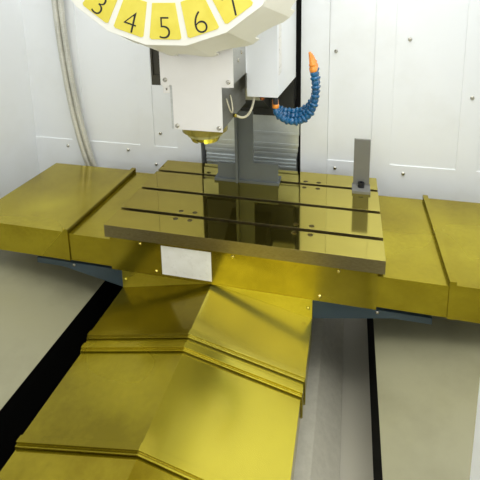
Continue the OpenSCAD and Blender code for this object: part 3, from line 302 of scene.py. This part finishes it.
def base_finish():
    """Base: blue-grey sides, and an upward deck with chips and oil on it, painted pale as painted
    light against the shade under the covers.
    """
    f = paint("base_paint", srgb(66, 82, 90), srgb(40, 48, 44), 0.42, 260.0, 0.3, 0.7)
    deck = f.range(f.facing(Z), 0.3, 0.5)
    # Deck colour: chips and grime, brightened as painted light
    grime_and_painted_light = f.mix(f.noise(60.0, 6.0, 0.7), srgb(226, 220, 198), srgb(188, 182, 158))
    return split_finish(f, deck, grime_and_painted_light, 0.5)


def bracket_finish():
    """Rough grey paint, paler on the flat bar."""
    f = paint("bracket_paint", srgb(92, 97, 96), srgb(62, 64, 60), 0.5, 420.0, 0.35, 0.6)
    return split_finish(f, f.math("GREATER_THAN", f.part(X), BAR_FROM_X), srgb(114, 113, 106), 0.45)


def column_finish():
    """Painted column whose front, behind the covers, is painted near-black as painted shade."""
    f = paint("column_paint", srgb(226, 223, 210), srgb(168, 160, 132), 0.45, 300.0, 0.3, 0.5)
    # Painted shade: the front, in shadow behind the covers, goes near-black
    return split_finish(f, f.math("LESS_THAN", f.part(Y), COLUMN_FRONT_Y), srgb(20, 20, 18), 0.6)


def shell_finish():
    """White shell whose outer skin shows the joints of its panels and a darker foot."""
    f = paint("shell_white", srgb(238, 240, 240), srgb(214, 213, 204), 0.36, 900.0, 0.10, 0.25)
    sides = f.math("GREATER_THAN", f.math("ABSOLUTE", f.part(X)), SHELL_SIDE_X)
    front = f.math("LESS_THAN", f.part(Y), SHELL_FRONT_Y)
    places = ((Y, -0.380, sides), (Y, 0.260, sides), (Z, 1.260, sides), (Z, 0.420, sides),
              (Z, 0.420, front), (X, -0.500, front), (X, 0.500, front))
    joints = None
    for axis, where, face in places:
        band = f.between(axis, where - JOINT_HALF_WIDTH, where + JOINT_HALF_WIDTH)
        line = f.math("MULTIPLY", band, face)
        joints = line if joints is None else f.math("MAXIMUM", joints, line)
    split_finish(f, joints, srgb(70, 72, 72), 0.6)
    outside = f.math("MAXIMUM", sides, front)
    foot = f.math("MULTIPLY", f.math("LESS_THAN", f.part(Z), SHELL_FOOT_TOP), outside)
    return split_finish(f, foot, srgb(92, 100, 104), 0.45)


def spindle_finish():
    """Oiled steel: bright gold on the nose, browner on the flange above it."""
    f = brushed("spindle_gold", srgb(224, 221, 166), srgb(180, 173, 100), (1, 1, 30), (0.16, 0.30))
    return split_finish(f, f.range(f.part(Z), *SPINDLE_FLANGE_Z), srgb(158, 144, 66), 0.24)


def head_finish():
    """Machined casting: clean and pale at the top; its right-facing sides go darker grey towards
    the spindle as painted shade, and its rear goes near-black.
    """
    f = brushed("head_iron", srgb(222, 222, 215), srgb(182, 182, 175), (1, 1, 6), (0.3, 0.46), 0.15)
    # Painted shade: right-facing faces low near the spindle go darker grey
    near_spindle = f.range(f.part(Z), *HEAD_PAINTED_SHADE_Z, 1.0, 0.0)
    low = f.math("MULTIPLY", near_spindle, f.range(f.facing(X), 0.4, 0.7))
    split_finish(f, low, srgb(92, 91, 83), 0.36)
    # Near-black rear: the dark slide, with painted shade of the deep shadow behind the head
    return split_finish(f, f.math("GREATER_THAN", f.part(Y), HEAD_REAR_Y), srgb(40, 41, 37), 0.5)


def door_finish():
    """White door with a smoked window pane."""
    f = paint("door_white", srgb(236, 236, 231), srgb(196, 192, 180), 0.34)
    side = f.math("ABSOLUTE", f.part(X))
    across = f.math("MULTIPLY", f.math("GREATER_THAN", side, PANE_X[0]),
                    f.math("LESS_THAN", side, PANE_X[1]))
    opening = f.math("MULTIPLY", across, f.between(Z, *PANE_Z))
    pane = f.math("MULTIPLY", f.between(Y, *PANE_Y), opening)
    f.set("Base Color", f.mix(pane, f.driving("Base Color"), srgb(44, 50, 54)))
    f.set("Roughness", f.range(pane, 0.0, 1.0, 0.36, 0.06))
    return f


FINISHES = {
    "casting_blue": paint("casting_blue", srgb(58, 74, 82), srgb(40, 48, 44), 0.42, 260.0, 0.3,
                          0.7),
    "casting_white": paint("casting_white", srgb(226, 223, 210), srgb(168, 160, 132), 0.45, 300.0,
                           0.3, 0.5),
    "sheet_white": paint("sheet_white", srgb(238, 240, 240), srgb(214, 213, 204), 0.36, 900.0, 0.10,
                         0.30),
    "film_gold": oiled_sheet("film_gold", srgb(188, 172, 44), srgb(142, 124, 14), (0.15, 0.28),
                             (1, 1, 2), 0.82),
    "table_gold": table_finish(),
    "steel_sheet": brushed("steel_sheet", srgb(222, 228, 228), srgb(178, 184, 182), (1, 1, 40),
                           (0.3, 0.5), 0.6),
    "rail_steel": brushed("rail_steel", srgb(190, 190, 188), srgb(150, 150, 148), (1, 1, 1)),
    "dark_steel": brushed("dark_steel", srgb(92, 92, 92), srgb(52, 52, 54), (1, 1, 3), (0.34, 0.5),
                          0.8),
    "bolt_black": moulded("bolt_black", srgb(28, 28, 30), srgb(18, 18, 20), 0.36),
    "screw_bright": brushed("screw_bright", srgb(206, 202, 190), srgb(160, 156, 140), (1, 1, 1),
                            (0.2, 0.34)),
    "bracket_grey": bracket_finish(),
    "plate_cream": paint("plate_cream", srgb(238, 234, 226), srgb(216, 210, 196), 0.52, 1200.0, 0.2,
                         0.35),
    "spindle_gold": spindle_finish(),
    "cam_olive": paint("cam_olive", srgb(62, 58, 40), srgb(36, 34, 22), 0.34, 300.0, 0.3, 0.6),
    "hose_blue": moulded("hose_blue", srgb(10, 98, 144), srgb(6, 72, 112), 0.24, 0.2),
    "nozzle_orange": moulded("nozzle_orange", srgb(246, 158, 58), srgb(232, 134, 36), 0.28, 0.2),
    "hose_white": moulded("hose_white", srgb(222, 216, 190), srgb(196, 188, 156), 0.3, 0.2),
    "drum_white": paint("drum_white", srgb(240, 237, 222), srgb(214, 206, 182), 0.4, 1000.0, 0.1,
                        0.3),
    "plate_yellow": moulded("plate_yellow", srgb(232, 216, 84), srgb(224, 206, 68), 0.34, 0.2),
    "panel_grey": paint("panel_grey", srgb(214, 216, 214), srgb(182, 182, 176), 0.4, 1000.0, 0.16,
                        0.3),
    "button_red": moulded("button_red", srgb(206, 30, 26), srgb(176, 20, 18), 0.3, 0.3),
    "knob_black": moulded("knob_black", srgb(30, 30, 31), srgb(20, 20, 21), 0.42),
    "conduit_grey": brushed("conduit_grey", srgb(226, 224, 212), srgb(186, 184, 172), (1, 1, 8),
                            (0.3, 0.44), 0.5),
    "motor_black": paint("motor_black", srgb(40, 40, 43), srgb(24, 24, 26), 0.46, 500.0, 0.3, 0.5),
}
DOOR = door_finish()
SPECIAL = {
    "table_aprons": oiled_sheet("film_apron", srgb(182, 166, 46), srgb(140, 124, 20), (0.15, 0.28),
                                (1, 1, 2), 0.82),
    "saddle_front_plate": oiled_sheet("film_plate", srgb(212, 198, 72), srgb(176, 160, 40),
                                      (0.2, 0.34), (1, 1, 2), 0.7),
    # The second colour of each cover stage is its right slope's painted light
    "y_cover_stage1": roof_finish("film_stage1", srgb(144, 128, 20), srgb(242, 232, 108),
                                  srgb(104, 90, 6)),
    "y_cover_stage2": roof_finish("film_stage2", srgb(176, 158, 30), srgb(222, 210, 82),
                                  srgb(128, 112, 8)),
    "y_cover_stage3": roof_finish("film_stage3", srgb(170, 154, 30), srgb(204, 190, 66),
                                  srgb(124, 110, 8)),
    "apron_screws": brushed("screw_oiled", srgb(228, 212, 122), srgb(180, 160, 70), (1, 1, 1),
                            (0.16, 0.28)),
    "table_plugs": oiled_sheet("plug_oiled", srgb(120, 106, 44), srgb(70, 60, 22), (0.2, 0.4),
                               (1, 1, 1), 0.8),
    "left_door": DOOR,
    "right_door": DOOR,
    "shell_panels": shell_finish(),
    "chip_guides": guide_finish(),
    "base_casting": base_finish(),
    "column_casting": column_finish(),
    "head_casting": head_finish(),
}
MATERIALS = {slot: finish.material for slot, finish in FINISHES.items()}
INK = moulded("number_ink", srgb(26, 24, 22), srgb(18, 17, 16), 0.4).material
SCREEN = moulded("screen_dark", srgb(34, 42, 48), srgb(26, 32, 38), 0.12, 0.6).material
COPPER = brushed("copper_fitting", srgb(196, 118, 70), srgb(150, 84, 46), (1, 1, 1),
                 (0.24, 0.4)).material
LABEL = moulded("blank_plate", srgb(238, 237, 230), srgb(226, 224, 214), 0.3, 0.2).material


def dress_nodes():
    """Each CAD node gets its own finish, or else that of its slot."""
    slot_of = {row["node"]: row["material_slot"] for row in frame["record"]["subparts"]}
    for name, thing in frame["nodes"].items():
        finish = SPECIAL.get(name, FINISHES[slot_of[name]])
        thing.data.materials.clear()
        thing.data.materials.append(finish.material)


# Mesh makers

FINE_STEPS = 400


def in_scene(name, data):
    """An object of the given mesh, curve, lamp or camera data, linked to the scene."""
    thing = bpy.data.objects.new(name, data)
    bpy.context.scene.collection.objects.link(thing)
    return thing


def new_piece(name, vertices, faces, material, body, smooth=False):
    mesh = bpy.data.meshes.new(name)
    mesh.from_pydata([tuple(v) for v in vertices], [], faces)
    mesh.materials.append(material)
    mesh.update()
    for polygon in mesh.polygons:
        polygon.use_smooth = smooth
    thing = in_scene(name, mesh)
    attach(thing, body)
    return thing


def soften(thing, width):
    """Rounds the edges of a box."""
    made = thing.modifiers.new("edges", "BEVEL")
    made.width = width
    made.segments = 2
    made.limit_method = "ANGLE"
    made.angle_limit = math.radians(35)


def box_faces(low, high):
    ends = (low, high)
    vertices = [(a[X], b[Y], c[Z]) for a in ends for b in ends for c in ends]
    faces = [(0, 1, 3, 2), (4, 6, 7, 5), (0, 4, 5, 1), (2, 3, 7, 6), (0, 2, 6, 4), (1, 5, 7, 3)]
    return vertices, faces


def slab(name, low, high, material, body, edge=0.0006):
    vertices, faces = box_faces(low, high)
    thing = new_piece(name, vertices, faces, material, body)
    soften(thing, edge)
    return thing


def path_frames(points):
    """A direction and two side vectors at each point, turned as little as possible."""
    frames = []
    side = None
    for i, point in enumerate(points):
        ahead = points[min(i + 1, len(points) - 1)] - points[max(i - 1, 0)]
        ahead.normalize()
        if side is None:
            side = ahead.orthogonal().normalized()
        side = (side - ahead * side.dot(ahead)).normalized()
        frames.append((point, side, ahead.cross(side)))
    return frames


def tube(name, points, radii, sides, material, body):
    """A closed round piece along a path, with its own radius at each point."""
    vertices, faces = [], []
    for (point, u, v), radius in zip(path_frames(points), radii):
        for k in range(sides):
            a = 2.0 * math.pi * k / sides
            vertices.append(point + (u * math.cos(a) + v * math.sin(a)) * radius)
    for i in range(len(points) - 1):
        for k in range(sides):
            n = (k + 1) % sides
            faces.append((i * sides + k, i * sides + n, (i + 1) * sides + n, (i + 1) * sides + k))
    last = (len(points) - 1) * sides
    faces.append(tuple(reversed(range(sides))))
    faces.append(tuple(last + k for k in range(sides)))
    return new_piece(name, vertices, faces, material, body, smooth=True)


def turned(name, base, ahead, steps, sides, material, body):
    """A lathe-turned piece: each step is a distance along its axis and the radius there."""
    points = [base + ahead * distance for distance, _ in steps]
    return tube(name, points, [radius for _, radius in steps], sides, material, body)


def bezier(control, t):
    a, b, c, d = control
    return a * (1 - t) ** 3 + b * 3 * t * (1 - t) ** 2 + c * 3 * t * t * (1 - t) + d * t ** 3


def even_points(curve, spacing):
    """Points of a curve function over 0 to 1, the same distance apart."""
    fine = [curve(i / FINE_STEPS) for i in range(FINE_STEPS + 1)]
    lengths = [0.0]
    for a, b in zip(fine, fine[1:]):
        lengths.append(lengths[-1] + (b - a).length)
    count = max(2, int(round(lengths[-1] / spacing)))
    points, j = [], 0
    for i in range(count + 1):
        want = lengths[-1] * i / count
        while j < FINE_STEPS - 1 and lengths[j + 1] < want:
            j += 1
        span = lengths[j + 1] - lengths[j]
        points.append(fine[j].lerp(fine[j + 1], (want - lengths[j]) / span if span else 0.0))
    return points, lengths[-1] / count


def declare_line(points):
    """Takes the points of a hose or conduit held at both ends by the machine; it works out their
    length and keeps nothing.
    """
    length = sum((b - a).length for a, b in zip(points, points[1:]))
    tuple(points[0])
    [tuple(p) for p in points]


# Coolant hoses: ball and socket links, each with its orange nozzle

HOSE_COUNT = 3
HOSE_ROW = 0.150
HOSE_PITCH = 0.021
HOSE_CONTROL = [(0.146, 0.292), (0.158, 0.268), (0.272, 0.256), (0.240, 0.395)]
HOSE_SAG = 0.007
HOSE_LINK = 0.0225
HOSE_RINGS = 20
HOSE_FAN = 0.004
HOSE_RISE = Vector((0, 0, 0.006))
HOSE_TOP_RADIUS = 0.0074
NECK_RADIUS, BALL_SWELL, LIP_SWELL = 0.0066, 0.0024, 0.0042
COLLAR = [(0.0, 0.0074), (0.001, 0.0086), (0.009, 0.0086), (0.010, 0.0074)]
UP = Vector((0, 0, 1))


def hose_curve(i):
    """The line of hose i: down from the manifold, to the right and up again."""
    control = [Vector((x, 0.0, z)) for x, z in HOSE_CONTROL]

    def curve(t):
        p = bezier(control, t)
        drop = HOSE_SAG * (HOSE_COUNT - 1 - i) * math.sin(math.pi * t)
        x = p.x - (1 - t) * i * HOSE_FAN
        return Vector((x, SPINDLE_Y + HOSE_ROW + (i - 1) * HOSE_PITCH, TABLE_TOP + p.z - drop))
    return curve


def link_radius(u):
    """Profile of one link: a round ball that leaves the neck and opens into a wide lip."""
    ball = math.sin(math.pi * min(1.0, u / 0.62)) ** 0.8 if u < 0.62 else 0.0
    lip = smooth_step(0.50, 0.80, u) * (1.0 - smooth_step(0.93, 1.0, u))
    return NECK_RADIUS + BALL_SWELL * ball + LIP_SWELL * lip


def make_hoses():
    for i in range(HOSE_COUNT):
        points, step = even_points(hose_curve(i), HOSE_LINK / HOSE_RINGS)
        radii = [link_radius((k * step / HOSE_LINK) % 1.0) for k in range(len(points))]
        line = [points[0] + HOSE_RISE] + points
        hose = tube("coolant_hose_%d" % (i + 1), line, [HOSE_TOP_RADIUS] + radii, 20,
                    MATERIALS["hose_blue"], "head")
        if i == 0:
            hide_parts("coolant_hoses")
        make_nozzle(i, points[-1], (points[-1] - points[-8]).normalized())


def make_nozzle(i, tip, ahead):
    """The orange nozzle at the free end of hose i, and the collar at its upper end."""
    length = 0.050 - 0.008 * i
    profile = [(0.000, 0.0088), (0.002, 0.0094), (0.010, 0.0094), (0.012, 0.0078),
               (0.015, 0.0074), (0.016, 0.0084), (0.019, 0.0084), (0.021, 0.0066),
               (length - 0.004, 0.0037), (length, 0.0033)]
    orange = MATERIALS["nozzle_orange"]
    nozzle = turned("hose_nozzle_%d" % (i + 1), tip, ahead, profile, 24, orange, "head")
    top = hose_curve(i)(0.0) + HOSE_RISE
    turned("hose_collar_%d" % (i + 1), top, UP, COLLAR, 24, orange, "head")
    if i == 0:
        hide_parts("hose_nozzles")


# Flexible metal conduits on the rear wall

CONDUIT_Y = 0.312
CONDUIT_CONTROL = [(-0.718, 0.600), (-0.718, 0.380), (-0.694, 0.060), (-0.626, -0.112)]
CONDUIT_APART = 0.024
CONDUIT_SPACING = 0.0016
CONDUIT_WAVE = 0.0055
CONDUIT_RIPPLE = 0.0011
# name, which end of the curve, lower edge above the table top, height, rear face
CONDUIT_BOXES = [("top", 0, 0.590, 0.060, 0.342), ("low", 3, -0.155, 0.050, 0.339)]


def make_conduits():
    control = [Vector((x, CONDUIT_Y, TABLE_TOP + z)) for x, z in CONDUIT_CONTROL]
    for i in range(2):
        beside = Vector((CONDUIT_APART * i, 0, 0))
        points, step = even_points(lambda t: bezier(control, t) + beside, CONDUIT_SPACING)
        core = 0.0108 - 0.0015 * i
        turns = [2 * math.pi * k * step / CONDUIT_WAVE for k in range(len(points))]
        radii = [core + CONDUIT_RIPPLE * (0.5 + 0.5 * math.sin(turn)) for turn in turns]
        conduit = tube("conduit_%d" % (i + 1), points, radii, 16, MATERIALS["conduit_grey"],
                       "machine")
        declare_line(points)
        if i == 0:
            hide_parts("conduits")
    for name, end, low, tall, back in CONDUIT_BOXES:
        x = control[end].x
        slab("conduit_box_" + name, (x - 0.020, CONDUIT_Y - 0.017, TABLE_TOP + low),
             (x + CONDUIT_APART + 0.020, back, TABLE_TOP + low + tall),
             MATERIALS["sheet_white"], "machine", 0.003)


# Numbers on the tool drum

NUMBER_FACE_Y = -0.2011
NUMBER_CENTRE = 0.2190
NUMBER_SIZE = 0.060
NUMBER_THINNER = -0.0012
NUMBER_RAISED = 0.0002


def make_numbers():
    """Place numbers as thin raised letters, one mesh for each place, that turn with the drum."""
    stand = Matrix.Rotation(math.radians(90), 4, "X")
    lift = Matrix.Translation((0, NUMBER_FACE_Y, -NUMBER_CENTRE))
    for k in range(PLACES):
        number = (BOTTOM_NUMBER - k - 1) % PLACES + 1
        curve = bpy.data.curves.new("number_curve", "FONT")
        curve.body = str(number)
        curve.size = NUMBER_SIZE
        curve.offset = NUMBER_THINNER
        curve.extrude = NUMBER_RAISED
        curve.align_x = "CENTER"
        curve.align_y = "CENTER"
        curve.resolution_u = 6
        writer = in_scene("number_writer", curve)
        bpy.context.view_layer.update()
        written = writer.evaluated_get(bpy.context.evaluated_depsgraph_get())
        mesh = bpy.data.meshes.new_from_object(written)
        bpy.data.objects.remove(writer)
        turn = Matrix.Rotation(2 * math.pi * k / PLACES, 4, "Y")
        mesh.transform(Matrix.Translation(MAG_AXIS) @ turn @ lift @ stand)
        mesh.materials.clear()
        mesh.materials.append(INK)
        mesh.name = "place_number_%d" % number
        thing = in_scene(mesh.name, mesh)
        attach(thing, "magazine")


# Small fittings on the head and the walls, bare plates, and the panel's screen

COPPER_BASE = Vector((0.112, SPINDLE_Y + 0.128, TABLE_TOP + 0.318))
COPPER_STEPS = [(0.0, 0.0052), (0.002, 0.0060), (0.008, 0.0060), (0.009, 0.0044), (0.014, 0.0044)]
AIR_HOSE_START = Vector((0.093, -0.031, 1.198))
AIR_HOSE_END = Vector((0.058, -0.113, 1.161))
AIR_HOSE_RADIUS = 0.0031
AIR_FITTING_STEPS = [(0.0, 0.0045), (0.006, 0.0045), (0.007, 0.0038), (0.009, 0.0036)]
THIN_HOSE_SPACING = 0.003
HEAD_SIDE_X = 0.078
HEAD_SIDE_SCREWS = ((-0.134, 1.300), (-0.102, 1.313), (-0.190, 1.500))
SADDLE_SCREWS_X = (-0.405, 0.405)
LOOP_CONTROL = [(0.0585, -0.170, 1.218), (0.0700, -0.172, 1.170), (0.0700, -0.140, 1.170),
                (0.0585, -0.138, 1.218)]
LOOP_RADIUS = 0.0017
RETURNS_X = (-0.190, 0.1705)
RETURN_WIDTH, RETURN_DEPTH = 0.0035, 0.0015
APRON_FACE_Y = SPINDLE_Y + 0.200 - 0.204
BOX_FACE_X = 0.156
PLATE_THICK = 0.0006


def make_fittings():
    """The copper fitting under the white box, and the thin air hose between its two fittings."""
    turned("copper_fitting", COPPER_BASE, UP, COPPER_STEPS, 24, COPPER, "head")
    start, fitting = AIR_HOSE_START, AIR_HOSE_END
    control = [start - Vector((0, 0, 0.005)), start - Vector((0.004, 0.016, 0.062)),
               fitting + Vector((0.022, 0.014, -0.016)), fitting + Vector((0.007, 0, 0))]
    points, _ = even_points(lambda t: bezier(control, t), THIN_HOSE_SPACING)
    radii = [AIR_HOSE_RADIUS] * len(points)
    hose = tube("air_hose_tube", points, radii, 16, MATERIALS["hose_white"], "head")
    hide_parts("air_hose")
    declare_line(points)
    for name, at, ahead in (("start", start, -UP), ("end", fitting, Vector((1, 0, 0)))):
        turned("air_hose_" + name, at, ahead, AIR_FITTING_STEPS, 20, MATERIALS["spindle_gold"],
               "head")


def dome_screw(name, place, outward, radius, body):
    """A small bright dome screw that stands on a face."""
    height = 0.003
    steps = [(-0.0005, radius), (height * 0.35, radius), (height * 0.75, radius * 0.80),
             (height, radius * 0.45)]
    turned(name, place, outward, steps, 20, MATERIALS["screw_bright"], body)


def make_small_fittings():
    """Screws on the head's side and the saddle, and the small clear loop at the head's side."""
    for i, (y, z) in enumerate(HEAD_SIDE_SCREWS):
        dome_screw("head_side_screw_%d" % (i + 1), Vector((HEAD_SIDE_X, y, z)), Vector((1, 0, 0)),
                   0.0048, "head")
    for i, x in enumerate(SADDLE_SCREWS_X):
        place = Vector((x, 0.045 - 0.184, 0.706))
        dome_screw("saddle_screw_%d" % (i + 1), place, Vector((0, -1, 0)), 0.0045, "saddle")
    control = [Vector(place) for place in LOOP_CONTROL]
    points, _ = even_points(lambda t: bezier(control, t), THIN_HOSE_SPACING)
    radii = [LOOP_RADIUS] * len(points)
    tube("clear_loop", points, radii, 12, MATERIALS["hose_white"], "head")


def make_seals():
    """Narrow returns of the white strips beside the column cover."""
    low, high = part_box("column_strips")
    for i, x in enumerate(RETURNS_X):
        slab("strip_return_%d" % (i + 1), (x, low[Y], low[Z]),
             (x + RETURN_WIDTH, low[Y] + RETURN_DEPTH, high[Z]),
             MATERIALS["sheet_white"], "machine", 0.0002)


def make_plates():
    """Bare plates where the real machine carries labels, and the dark screen of the panel."""
    slab("apron_plate", (TABLE_X - 0.195, APRON_FACE_Y - PLATE_THICK, TABLE_TOP - 0.124),
         (TABLE_X - 0.061, APRON_FACE_Y, TABLE_TOP - 0.042), LABEL, "table", 0.0002)
    slab("box_plate", (BOX_FACE_X, SPINDLE_Y + 0.118, TABLE_TOP + 0.385),
         (BOX_FACE_X + PLATE_THICK, SPINDLE_Y + 0.160, TABLE_TOP + 0.560), LABEL, "head",
         0.0002)
    slab("panel_screen", (0.592, -1.0238, 1.442), (0.758, -1.0212, 1.588), SCREEN, "machine")


# Stage, light and camera

FLOOR_HALF = 9
WORLD_COLOUR = (0.96, 0.985, 1.0, 1.0)
WORLD_STRENGTH = 0.62
LAMP_COLOUR = (0.97, 0.99, 1.0)
# name, place, aim, size in metres, watts
LAMPS = [
    ("top_light", (0.3, -0.5, 3.2), (0.1, 0.0, 0.9), (2.2, 1.6), 56.0),
    ("front_light", (0.2, -3.4, 2.2), (0.1, -0.2, 1.1), (2.4, 2.0), 25.0),
    ("work_light", (0.66, -0.58, 2.00), (-0.05, 0.1, 0.95), (0.26, 0.46), 1.5),
    ("right_fill", (0.62, -0.45, 1.40), (0.0, -0.45, 0.65), (0.30, 0.60), 0.9),
    ("door_light", (0.26, -0.73, 1.80), (0.11, -0.05, 0.85), (0.90, 0.20), 0.70),
]
CAMERA_PLACE = Vector((0.3263, -1.0969, 1.4892))
CAMERA_TURN = (14.21, 11.21, -1.12)
CAMERA_SENSOR = 36.0
CAMERA_LENS = 33.29
CAMERA_SHIFT = -0.3677


def make_stage():
    h = FLOOR_HALF
    vertices = [(-h, -h, 0), (h, -h, 0), (h, h, 0), (-h, h, 0)]
    mesh = bpy.data.meshes.new("floor")
    mesh.from_pydata(vertices, [], [(0, 1, 2, 3)])
    floor = in_scene("floor", mesh)
    f = Finish("floor_pale")
    f.set("Base Color", f.mix(f.noise(3.0), srgb(226, 226, 224), srgb(218, 218, 216)))
    f.set("Roughness", 0.8)
    mesh.materials.append(f.material)


def make_world():
    """Even sky light, and plain white where the camera, metal or glass sees the background."""
    world = bpy.data.worlds.new("studio")
    bpy.context.scene.world = world
    world.use_nodes = True
    tree = world.node_tree
    tree.nodes.clear()
    out = tree.nodes.new("ShaderNodeOutputWorld")
    path = tree.nodes.new("ShaderNodeLightPath")
    seen = path.outputs["Is Camera Ray"]
    for ray in ("Is Transmission Ray", "Is Glossy Ray"):
        either = tree.nodes.new("ShaderNodeMath")
        either.operation = "MAXIMUM"
        tree.links.new(seen, either.inputs[0])
        tree.links.new(path.outputs[ray], either.inputs[1])
        seen = either.outputs[0]
    lamp = tree.nodes.new("ShaderNodeBackground")
    lamp.inputs["Color"].default_value = WORLD_COLOUR
    lamp.inputs["Strength"].default_value = WORLD_STRENGTH
    back = tree.nodes.new("ShaderNodeBackground")
    back.inputs["Color"].default_value = (1, 1, 1, 1)
    back.inputs["Strength"].default_value = 1.0
    mixer = tree.nodes.new("ShaderNodeMixShader")
    tree.links.new(seen, mixer.inputs[0])
    tree.links.new(lamp.outputs[0], mixer.inputs[1])
    tree.links.new(back.outputs[0], mixer.inputs[2])
    tree.links.new(mixer.outputs[0], out.inputs["Surface"])


def make_lamp(name, place, aim, size, watts):
    light = bpy.data.lights.new(name, "AREA")
    light.shape = "RECTANGLE"
    light.size, light.size_y = size
    light.energy = watts
    light.color = LAMP_COLOUR
    lamp = in_scene(name, light)
    lamp.location = place
    lamp.rotation_euler = (Vector(aim) - Vector(place)).to_track_quat("-Z", "Y").to_euler()


def make_camera():
    """The photographer's place: in front of the door opening, looking down to the left."""
    yaw, pitch, roll = (math.radians(angle) for angle in CAMERA_TURN)
    ahead = Vector((-math.sin(yaw) * math.cos(pitch), math.cos(yaw) * math.cos(pitch),
                    -math.sin(pitch)))
    right = Vector((math.cos(yaw), math.sin(yaw), 0.0))
    up = right.cross(ahead)
    side = right * math.cos(roll) + up * math.sin(roll)
    top = up * math.cos(roll) - right * math.sin(roll)
    data = bpy.data.cameras.new("camera")
    data.sensor_width = CAMERA_SENSOR
    data.lens = CAMERA_LENS
    data.shift_y = CAMERA_SHIFT
    data.clip_start = 0.02
    camera = in_scene("camera", data)
    camera.matrix_world = Matrix((
        (side.x, top.x, -ahead.x, CAMERA_PLACE.x),
        (side.y, top.y, -ahead.y, CAMERA_PLACE.y),
        (side.z, top.z, -ahead.z, CAMERA_PLACE.z),
        (0, 0, 0, 1)))
    bpy.context.scene.camera = camera


dress_nodes()
make_hoses()
make_conduits()
make_numbers()
make_fittings()
make_small_fittings()
make_seals()
make_plates()
make_stage()
make_world()
for lamp in LAMPS:
    make_lamp(*lamp)
make_camera()
bpy.context.scene.view_settings.view_transform = "Standard"
